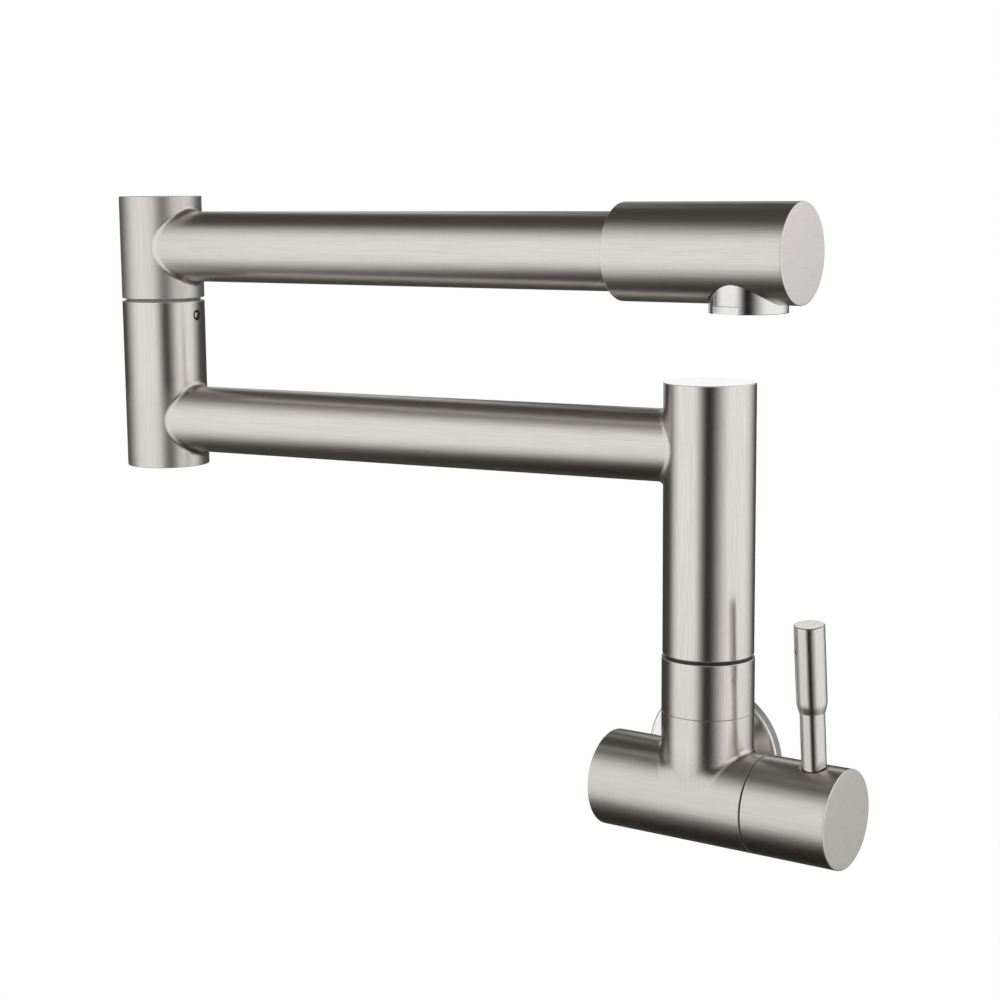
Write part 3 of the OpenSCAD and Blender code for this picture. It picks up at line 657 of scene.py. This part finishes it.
def thread(place, root_r, crest_r, pitch, length):
    """Ridge wound round a core from its foot, fading out at both ends"""
    per_turn = 96
    start = 0.8 * pitch
    end = length - start
    steps = round(per_turn * (end - start) / pitch)
    sunk_r = root_r - 0.25 * pitch
    foot = 0.46 * pitch
    crest = 0.10 * pitch
    fade = 0.5 * pitch
    section = [(sunk_r, -foot), (root_r, -foot), (crest_r, -crest),
               (crest_r, crest), (root_r, foot), (sunk_r, foot)]
    bm = bmesh.new()
    bm.faces.new([bm.verts.new((radius, 0, start + height)) for radius, height in section])
    bmesh.ops.spin(bm, geom=bm.verts[:] + bm.edges[:] + bm.faces[:], cent=(0, 0, 0), axis=(0, 0, 1),
                   dvec=(0, 0, pitch / per_turn), angle=FULL_TURN * steps / per_turn, steps=steps)
    bmesh.ops.holes_fill(bm, edges=bm.edges[:], sides=0)
    for vertex in bm.verts:
        height = vertex.co.z
        radius = vertex.co.xy.length
        if radius > root_r:
            inside = min(height - start, end - height) + fade
            share = min(1.0, max(0.0, inside / (2 * fade)))
            vertex.co.xy *= (root_r + (radius - root_r) * share) / radius
    bm.transform(place)
    return bm


# Valve body

def branch(place, bore_r, bore_l, outer_r, end, rounding, weld):
    """Tube that stands on the valve body, with a blind bore, a rounded end and a weld at its foot"""
    margin = rounding * EDGE_MARGIN
    return skin(place, [
        plain_ring(bore_r, end - bore_l),
        plain_ring(bore_r, end),
        plain_ring(outer_r - margin, end),
        *edge_rings(outer_r, end, rounding),
        plain_ring(outer_r, end - margin),
        *weld_rings(body_r, outer_r, weld),
    ], closed=False)


def edge_rings(radius, height, rounding):
    """Rings over the rounded outer edge of a branch's end, from its face to its side"""
    rings = []
    for step in range(EDGE_STEPS + 1):
        turn = math.pi / 2 * step / EDGE_STEPS
        rings.append(plain_ring(radius - rounding * (1 - math.sin(turn)),
                                height - rounding * (1 - math.cos(turn))))
    return rings


def make_valve_body():
    left, _ = span("body_end_plug", ALONG_BODY)
    seam, neck_end, stub_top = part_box("valve_body")[1]
    recess_r = 14.5 * MM
    recess_floor = seam - 9 * MM
    chamber_r = 12.5 * MM
    chamber_floor = 15 * MM
    barrel = turned(body_frame, [
        (0, left, 0),
        (body_r, left, FACE_EDGE),
        (body_r, seam, SEAM_EDGE),
        (recess_r, seam, 0),
        (recess_r, recess_floor, 0),
        (chamber_r, recess_floor, 0),
        (chamber_r, chamber_floor, 0),
        (0, chamber_floor, 0),
    ])
    stub = branch(local_frame(tower_foot, UP, ALONG_BODY), 12.1 * MM, 12.5 * MM,
                  stub_r, stub_top, SEAM_EDGE, STUB_WELD)
    neck = branch(local_frame(Vector((0, body_y, 0)), TO_WALL, ALONG_BODY), 10.5 * MM, 14 * MM,
                  neck_r, neck_end - body_y, TUBE_EDGE, NECK_WELD)

    def choose(face):
        centre = face.calc_center_median()
        out = centre - Vector((0, body_y, 0))
        if face.normal.x < -END_LEAN:
            return 1
        if out.xz.length < neck_r + 2 * FACE_MARGIN and out.y > body_r + FACE_MARGIN:
            return 3
        if out.yz.length > body_r + FACE_MARGIN and centre.z > 0:
            return 2
        # The rounded rim of the left end takes the painted edge highlight
        return 4 if face.normal.x < -RIM_LEAN and centre.x < left + 2 * FACE_EDGE else 0

    return piece("valve_tee", joined(barrel, stub, neck), "valve",
                 ["valve_body", "body_end_plug"],
                 [body_steel, end_face_steel, stub_steel, neck_steel, rim_highlight_steel], choose)


def make_collar():
    low, high = span("base_collar", UP)
    bore_r = 13.05 * MM
    shell = turned(tower_frame, [
        (bore_r, low, INNER_EDGE),
        (stub_r, low, SEAM_EDGE),
        (stub_r, high, TUBE_EDGE),
        (bore_r, high, INNER_EDGE),
    ], closed=True)
    return piece("tower_collar", shell, "valve", ["base_collar"],
                 [upright_steel, top_face_highlight_steel, rim_highlight_steel], faces_along(UP, (low + high) / 2))


# Lever and its cap

def cap_screw_frame():
    """Frame of the cap's screw, with its Z pointing down out of the cap"""
    return local_frame(Vector((middle("handle_grub_screw").x, body_y, 0)), -UP, ALONG_BODY)


def make_cap():
    near, far = span("handle_cap", ALONG_BODY)
    spindle_gap = 0.4 * MM
    bore_r = 4.05 * MM
    bore_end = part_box("cartridge_spindle")[1].x + spindle_gap
    hub_r = 15 * MM
    hub_floor = near + 4 * MM
    cap = turned(body_frame, [
        (0, bore_end, 0),
        (bore_r, bore_end, 0),
        (bore_r, hub_floor, 0),
        (hub_r, hub_floor, 0),
        (hub_r, near, 0),
        (body_r, near, SEAM_EDGE),
        (body_r, far, FACE_EDGE),
        (0, far, 0),
    ])
    screw_hole_r = 2.5 * MM
    screw_hole_foot = 6 * MM
    screw_hole = prism(cap_screw_frame(), screw_hole_r, screw_hole_foot, 2 * body_r)
    sink_r = 5.5 * MM
    sink_edge = 1.1 * MM
    lever_sink = turned(lever_frame, [
        (0, LEVER_SEAT, 0),
        (sink_r, LEVER_SEAT, 0),
        (sink_r, body_r, 0),
        (sink_r + sink_edge, body_r + sink_edge, 0),
        (0, body_r + sink_edge, 0),
    ])
    return piece("lever_cap", carved(cap, screw_hole, lever_sink), "handle",
                 ["handle_cap"], [body_steel, end_face_steel, rim_highlight_steel],
                 faces_along(ALONG_BODY, (near + far) / 2))


def make_lever():
    _, tip = span("lever_stick", lever_way, lever_foot)
    foot_r = 4.7 * MM
    grip_r = 5.75 * MM
    neck = 40.6 * MM
    cone_l = 3.2 * MM
    ledge = 0.22 * MM
    rod = turned(lever_frame, [
        (0, LEVER_SEAT, 0),
        (foot_r, LEVER_SEAT, 0),
        (foot_r, neck, 0),
        (foot_r + ledge, neck, 0.5 * INNER_EDGE),
        (grip_r, neck + cone_l, 8 * INNER_EDGE),
        (grip_r, tip, LEVER_EDGE),
        (0, tip, 0),
    ], steps=SLIM_STEPS)
    return piece("lever_rod", rod, "handle", ["lever_stick"],
                 [lever_steel, lever_face_steel, lever_steel], faces_along(lever_way))


# Set screws

def set_screw(place, radius, low, high, nose_r, nose_l, socket_r):
    """Headless screw with a narrower domed nose at its outer end and a hexagon socket in it"""
    shoulder = high - nose_l
    blank = turned(place, [
        (0, low, 0),
        (radius, low, 2 * INNER_EDGE),
        (radius, shoulder, 0),
        (nose_r, shoulder, 0),
        (nose_r, high - nose_l / 2, 0),
        (0.7 * nose_r, high - nose_l / 5, 0),
        (0, high, 0),
    ], steps=SCREW_STEPS)
    return carved(blank, prism(place, socket_r, shoulder, high + socket_r, sides=6))


def swivel_screw_frames():
    """Frames of the two swivel screws, with their Z pointing out of the tubes"""
    low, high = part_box("swivel_grub_screws")
    cad_screw_r = 1.95 * MM
    return [local_frame(tower_foot + UP * (low.z + cad_screw_r), lower_arm_way, UP),
            local_frame(elbow_foot + UP * (high.z - cad_screw_r), -lower_arm_way, UP)]


def make_swivel_screws():
    outer = tower_r - 0.05 * MM
    nose_r = 1.15 * MM
    nose_l = 0.3 * MM
    places = swivel_screw_frames()
    screws = [set_screw(place, radius=2.2 * MM, low=13.64 * MM, high=outer,
                        nose_r=nose_r, nose_l=nose_l, socket_r=0.45 * MM) for place in places]

    def choose(face):
        centre = face.calc_center_median()
        spot = min((place.inverted() @ centre for place in places), key=lambda point: point.xy.length)
        # The shoulder round the nose takes the painted shade
        return 1 if spot.xy.length > nose_r and spot.z > outer - 1.1 * nose_l else 0

    return piece("swivel_screws", joined(*screws), "lower_arm",
                 ["swivel_grub_screws"], [screw_steel, painted_gap_shade], choose)


def make_cap_screw():
    low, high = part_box("handle_grub_screw")
    screw = set_screw(cap_screw_frame(), radius=2.45 * MM, low=-high.z, high=-low.z,
                      nose_r=1.9 * MM, nose_l=0.6 * MM, socket_r=1.25 * MM)
    return piece("cap_screw", screw, "handle", ["handle_grub_screw"], [screw_steel])


# Tower, elbow and arms

def capped_tube(place, open_end, closed_end):
    """Upright tube with its closed end filled by a flush disc"""
    disc_floor = closed_end + math.copysign(END_DISC, open_end - closed_end)
    return turned(place, [
        (0, disc_floor, 0),
        (UPRIGHT_BORE_R, disc_floor, 0),
        (UPRIGHT_BORE_R, open_end, INNER_EDGE),
        (tower_r, open_end, TUBE_EDGE),
        (tower_r, closed_end, TUBE_EDGE),
        (0, closed_end, 0),
    ])


def swivel_screw_hole(place):
    hole_r = 2.25 * MM
    return prism(place, hole_r, tower_r / 2, 2 * tower_r, sides=SCREW_STEPS)


def make_tower():
    low, _ = span("tower_tube", UP)
    _, top = span("tower_top_plug", UP)
    shell = carved(capped_tube(tower_frame, low, top), swivel_screw_hole(swivel_screw_frames()[0]))
    return piece("tower_upright", shell, "lower_arm",
                 ["tower_tube", "tower_top_plug"],
                 [upright_steel, top_face_highlight_steel, rim_highlight_steel], faces_along(UP))


def make_elbow_lower():
    low, _ = span("elbow_bottom_plug", UP)
    _, top = span("elbow_lower_barrel", UP)
    shell = carved(capped_tube(elbow_frame, top, low), swivel_screw_hole(swivel_screw_frames()[1]))
    return piece("elbow_lower", shell, "lower_arm",
                 ["elbow_lower_barrel", "elbow_bottom_plug"],
                 [elbow_steel, elbow_face_steel, rim_highlight_steel], faces_along(UP))


def make_elbow_upper():
    low, _ = span("elbow_upper_barrel", UP)
    _, top = span("elbow_top_plug", UP)
    return piece("elbow_upper", capped_tube(elbow_frame, low, top), "upper_arm",
                 ["elbow_upper_barrel", "elbow_top_plug"],
                 [elbow_top_steel, elbow_face_steel, rim_highlight_steel], faces_along(UP))


def make_elbow_ring():
    """Slide ring set well back in the gap of the elbow, its white plastic coloured grey as painted shade
    in the gap
    """
    low, high = span("elbow_slide_ring", UP)
    inner_r = 15.47 * MM
    outer_r = 15.8 * MM
    ring = turned(elbow_frame, [
        (inner_r, low, 0),
        (outer_r, low, 0),
        (outer_r, high, 0),
        (inner_r, high, 0),
    ], closed=True)
    return piece("elbow_ring", ring, "upper_arm", ["elbow_slide_ring"], [gap_shade_plastic])


def make_lower_arm():
    bore_r = lower_arm_r - ARM_WALL
    tube = skin(lower_arm_frame, [
        saddle_ring(tower_r - ARM_WALL, bore_r, arm_reach),
        saddle_ring(tower_r - ARM_WALL, bore_r),
        *reversed(weld_rings(tower_r, lower_arm_r, LOWER_ARM_WELD)),
        *weld_rings(tower_r, lower_arm_r, LOWER_ARM_WELD, arm_reach),
    ], closed=True)
    return piece("lower_arm", tube, "lower_arm", ["lower_arm_tube"], [lower_arm_steel])


def make_upper_arm():
    bore_r = upper_arm_r - ARM_WALL
    _, end = span("upper_arm_tube", upper_arm_way, elbow_foot)
    tube = skin(upper_arm_frame, [
        plain_ring(bore_r, end),
        saddle_ring(tower_r - ARM_WALL, bore_r),
        *reversed(weld_rings(tower_r, upper_arm_r, UPPER_ARM_WELD)),
        plain_ring(upper_arm_r, end),
    ], closed=True)
    return piece("upper_arm", tube, "upper_arm", ["upper_arm_tube"], [upper_arm_steel])


# Spout head and aerator

def make_head():
    start, _ = span("spout_head", upper_arm_way, elbow_foot)
    _, end = span("spout_end_disc", upper_arm_way, elbow_foot)
    bore_r = head_r - HEAD_WALL
    socket_r = upper_arm_r + 0.05 * MM
    socket_floor = start + 6 * MM
    shell = turned(upper_arm_frame, [
        (0, end, 0),
        (head_r, end, FACE_EDGE),
        (head_r, start, FACE_EDGE),
        (socket_r, start, INNER_EDGE),
        (socket_r, socket_floor, 0),
        (bore_r, socket_floor, 0),
        (bore_r, end - END_DISC, 0),
        (0, end - END_DISC, 0),
    ])
    gap = 0.45 * MM
    outlet_hole = prism(outlet_frame, aerator_r + gap, -2 * head_r, 0, sides=TURN_STEPS)
    return piece("spout_sleeve", carved(shell, outlet_hole), "upper_arm",
                 ["spout_head", "spout_end_disc"],
                 [upper_arm_steel, head_face_steel, rim_highlight_steel], faces_along(upper_arm_way))


def make_aerator():
    """Ring with a lip, two spanner flats and a fine groove along the top of each flat; the groove's
    faces are painted darker as shade
    """
    low, high = span("aerator_housing", UP, outlet_foot)
    bore_r = 12 * MM
    lip_r = 10 * MM
    lip_t = 1.1 * MM
    flat_y = 13.15 * MM
    flat_l = -head_r - low
    flat_top = low + flat_l
    groove = 0.3 * MM
    turn = math.radians(-12.6)
    shell = turned(outlet_frame, [
        (lip_r, low, 2 * INNER_EDGE),
        (aerator_r, low, TUBE_EDGE),
        (aerator_r, high, TUBE_EDGE),
        (bore_r, high, INNER_EDGE),
        (bore_r, low + lip_t, 0),
        (lip_r, low + lip_t, INNER_EDGE),
    ], closed=True)
    flats = []
    grooves = []
    for side in (0, math.pi):
        place = outlet_frame @ Matrix.Rotation(turn + side, 4, "Z")
        far = (aerator_r, aerator_r + MM, flat_top)
        flats.append(block(place, (-aerator_r, flat_y, low - MM), far))
        grooves.append(block(place, (-aerator_r / 2, flat_y - groove, flat_top - groove), far))

    def choose(face):
        spot = Matrix.Rotation(-turn, 4, "Z") @ (outlet_frame.inverted() @ face.calc_center_median())
        depth = (flat_y - abs(spot.y)) / groove
        rise = (spot.z - flat_top) / groove
        # Faces in the groove take the darker steel, a painted shade
        in_groove = 0.1 < depth < 1.1 and -1.1 < rise < 0.1 and abs(spot.x) < aerator_r / 2
        return 1 if in_groove else 0

    return piece("aerator_shell", carved(carved(shell, *flats), *grooves), "upper_arm",
                 ["aerator_housing"], [aerator_steel, painted_shade_steel], choose)


make_flange()
make_inlet_tail()
make_valve_body()
make_collar()
make_cap()
make_lever()
make_swivel_screws()
make_cap_screw()
make_tower()
make_elbow_lower()
make_elbow_upper()
make_elbow_ring()
make_lower_arm()
make_upper_arm()
make_head()
make_aerator()

# Finishes of the inner pieces, which keep their CAD shape
INNER_FINISHES = {
    seal_rubber: ["flange_ring", "inlet_washer", "tower_o_rings", "bonnet_o_ring", "cartridge_seat_seal",
                  "spindle_o_rings", "elbow_o_rings", "aerator_washer"],
    ring_plastic: ["tower_slide_ring"],
    white_plastic: ["aerator_insert", "aerator_screen"],
    disc_ceramic: ["ceramic_disc_fixed", "ceramic_disc_moving"],
    upright_brass: ["tower_spigot", "elbow_spigot", "outlet_nipple"],
    body_brass: ["cartridge_bonnet", "cartridge_spindle"],
    screw_steel: ["spindle_clip"],
}
for finish, names in INNER_FINISHES.items():
    for name in names:
        for slot in frame["nodes"][name].material_slots:
            slot.material = finish


# Camera, at the photograph's place

# Its turn and rise over the tower's foot, its roll, and its place from there in metres;
# the focal length is a multiple of the sensor's width
CAMERA_TURN = math.radians(35.889)
CAMERA_RISE = math.radians(8.7706)
CAMERA_ROLL = math.radians(-0.4958)
CAMERA_DISTANCE = 0.7890793
CAMERA_RIGHT = -0.079126
CAMERA_UP = 0.114199
CAMERA_FOCUS = 2.040717
CAMERA_SENSOR = 36


def make_camera():
    flat = Vector((math.sin(CAMERA_TURN), -math.cos(CAMERA_TURN), 0))
    back = flat * math.cos(CAMERA_RISE) + UP * math.sin(CAMERA_RISE)
    right = (-back).cross(UP).normalized()
    top = right.cross(-back)
    place = tower_foot + back * CAMERA_DISTANCE + right * CAMERA_RIGHT + top * CAMERA_UP
    rolled_right = right * math.cos(CAMERA_ROLL) + top * math.sin(CAMERA_ROLL)
    rolled_top = top * math.cos(CAMERA_ROLL) - right * math.sin(CAMERA_ROLL)
    lens = bpy.data.cameras.new("camera")
    lens.sensor_width = CAMERA_SENSOR
    lens.lens = CAMERA_SENSOR * CAMERA_FOCUS
    lens.clip_start = 0.05
    lens.clip_end = 50
    camera = bpy.data.objects.new("camera", lens)
    bpy.context.scene.collection.objects.link(camera)
    turn = Matrix((rolled_right, rolled_top, back)).transposed()
    camera.matrix_world = Matrix.Translation(place) @ turn.to_4x4()
    bpy.context.scene.camera = camera


# Studio: white room, pale floor, and a round screen and a tent of black cloth that only reflections see

FLOOR_Z = -2.3
FLOOR_R = 20.0
FLOOR_PAINT = 0.8
SCREEN_R = 0.6
SCREEN_LOW = -0.85
SCREEN_HIGH = 0.62
# Place of the stage's middle from the tower's foot: to the camera's right, and towards the camera
STAGE_SHIFT = (-0.08, -0.08)
TENT_R = 2.2
TENT_Z = 0.08
FLOOR_STEPS = 64
TENT_STEPS = (96, 64)
CLOTH_DARK = (0.062, 0.056, 0.051, 1)
CLOTH_DEEP = (0.020, 0.017, 0.014, 1)


def make_world():
    world = bpy.data.worlds.new("white_room")
    bpy.context.scene.world = world
    world.use_nodes = True
    world.cycles.sampling_method = "NONE"
    graph = Graph(world.node_tree)
    light = graph.node("ShaderNodeBackground", {}, {"Color": (1, 1, 1, 1), "Strength": 1.0})
    graph.node("ShaderNodeOutputWorld", {}, {"Surface": light})


def make_floor():
    """Pale floor that reads white and keeps the shadow, and is open from below"""
    material, graph = new_material("floor_pale")
    camera = graph.node("ShaderNodeLightPath", {}, {}, "Is Camera Ray")
    glossy = graph.node("ShaderNodeLightPath", {}, {}, "Is Glossy Ray")
    through = graph.node("ShaderNodeLightPath", {}, {}, "Is Transmission Ray")
    seen = graph.larger(graph.larger(camera, glossy), through)
    matt = graph.node("ShaderNodeBsdfDiffuse", {}, {"Color": (FLOOR_PAINT, FLOOR_PAINT, FLOOR_PAINT, 1)})
    glow = graph.node("ShaderNodeEmission", {}, {
        "Color": (1, 1, 1, 1), "Strength": seen * (1 - FLOOR_PAINT)})
    lit = graph.node("ShaderNodeAddShader", {}, {0: matt, 1: glow})
    below = graph.node("ShaderNodeNewGeometry", {}, {}, "Backfacing")
    clear = graph.node("ShaderNodeBsdfTransparent", {}, {})
    both = graph.node("ShaderNodeMixShader", {}, {0: below, 1: lit, 2: clear})
    graph.node("ShaderNodeOutputMaterial", {}, {"Surface": both})
    material.cycles.emission_sampling = "NONE"
    bm = bmesh.new()
    bmesh.ops.create_circle(bm, cap_ends=True, segments=FLOOR_STEPS, radius=FLOOR_R,
                            matrix=Matrix.Translation((0, 0, FLOOR_Z)))
    stage_object("floor", bm, material).visible_shadow = False


def stage_frame():
    """Frame at the middle of the screen, with X to the camera's right and -Y towards it"""
    across = Vector((math.cos(CAMERA_TURN), math.sin(CAMERA_TURN), 0))
    towards = across.cross(UP)
    centre = tower_foot + across * STAGE_SHIFT[0] + towards * STAGE_SHIFT[1]
    return local_frame(centre, UP, across)


def round_stage(graph, x, y):
    """Angle round the stage in degrees: 0 towards the camera, 90 to its right and 180 behind"""
    return graph.math("ARCTAN2", x, 0 - y) * math.degrees(1)


def cloth(name, rule):
    """Black cloth that lets the white room through where its rule is 0"""
    material, graph = new_material(name)
    dark, shade = rule(graph)
    clear = graph.node("ShaderNodeBsdfTransparent", {}, {})
    black = graph.node("ShaderNodeEmission", {}, {"Color": shade, "Strength": 1.0})
    both = graph.node("ShaderNodeMixShader", {}, {0: dark, 1: clear, 2: black})
    graph.node("ShaderNodeOutputMaterial", {}, {"Surface": both})
    material.cycles.emission_sampling = "NONE"
    return material


def only_in_reflections(made):
    made.visible_camera = False
    made.visible_diffuse = False
    made.visible_transmission = False
    made.visible_volume_scatter = False
    made.visible_shadow = False


def make_screen():
    """Upright screen round the object, open to the white room at both sides, with a window behind"""
    place = stage_frame()

    def rule(graph):
        """Bands in degrees round the stage and in metres up the screen"""
        x, y, z = graph.split(graph.local(place))
        angle = round_stage(graph, x, y)
        step = graph.smooth_step
        front = graph.band(angle, (-35, -3), (3, 47))
        glow = graph.band(angle, (-180, -172), (-165, -145)) * step(z, 0.0, 0.12)
        left_rear = (1 - step(angle, -122, -75)) * (1 - 0.7 * glow)
        right_rear = step(angle - 12 * step(z, 0.08, 0.22), 80, 134)
        window = graph.band(angle, (150, 156), (170, 176)) * graph.band(z, (0.17, 0.20), (0.39, 0.43))
        rear = graph.larger(left_rear, right_rear) * (1 - window)
        right_low = 0.6 * step(angle, 60, 100) * (1 - step(z, -0.30, 0.02))
        all_low = 0.10 * (1 - step(z, -0.30, 0.05))
        all_lowest = 0.55 * (1 - step(z, -0.66, -0.30))
        low = graph.larger(graph.larger(all_low, all_lowest), right_low)
        dark = graph.larger(graph.larger(front, rear), low)
        faded = graph.band(z, (SCREEN_LOW, SCREEN_LOW + 0.12), (SCREEN_HIGH - 0.25, SCREEN_HIGH))
        return dark * faded, graph.blend(front, CLOTH_DARK, CLOTH_DEEP)

    bm = bmesh.new()
    centre = Matrix.Translation((0, 0, (SCREEN_HIGH + SCREEN_LOW) / 2))
    bmesh.ops.create_cone(bm, segments=TURN_STEPS, radius1=SCREEN_R, radius2=SCREEN_R,
                          depth=SCREEN_HIGH - SCREEN_LOW, matrix=place @ centre)
    only_in_reflections(stage_object("black_screen", bm, cloth("screen_cloth", rule)))


def make_tent():
    """Round tent over all, dark above and below, and darkest at the left rear"""
    place = stage_frame() @ Matrix.Translation((0, 0, TENT_Z))

    def rule(graph):
        """Bands in degrees round the stage and in degrees of rise above its level"""
        x, y, z = graph.split(graph.local(place))
        rise = graph.math("ARCSINE", z / TENT_R) * math.degrees(1)
        angle = round_stage(graph, x, y)
        step = graph.smooth_step
        left_rear = graph.band(angle, (-180, -150), (-120, -90))
        rear = step(y, 0.35 * TENT_R, 0.80 * TENT_R)
        above = step(rise + 30 * left_rear, 24, 65) * (1 - 0.1 * step(rise, 76, 88))
        below = 1 - step(rise - 30 * rear, -63, -20)
        slot = graph.band(rise, (2.0, 3.5), (10, 13)) * graph.band(angle, (160, 166), (175, 180))
        pane = graph.band(rise, (17, 19), (29, 32))
        straight_behind = graph.larger(step(angle, 138, 146), 1 - step(angle, -177, -169))
        behind = straight_behind * (1 - slot - pane)
        shade = graph.blend(step(rise, -40, -5), CLOTH_DEEP, CLOTH_DARK)
        return graph.larger(graph.larger(above, below), behind), shade

    bm = bmesh.new()
    bmesh.ops.create_uvsphere(bm, u_segments=TENT_STEPS[0], v_segments=TENT_STEPS[1],
                              radius=TENT_R, matrix=place)
    for face in bm.faces:
        face.smooth = True
    only_in_reflections(stage_object("black_dome", bm, cloth("dome_cloth", rule)))


def stage_object(name, bm, material):
    mesh = bpy.data.meshes.new(name)
    bm.to_mesh(mesh)
    bm.free()
    mesh.materials.append(material)
    made = bpy.data.objects.new(name, mesh)
    bpy.context.scene.collection.objects.link(made)
    return made


make_camera()
make_world()
make_floor()
make_screen()
make_tent()
bpy.context.scene.view_settings.view_transform = "Standard"
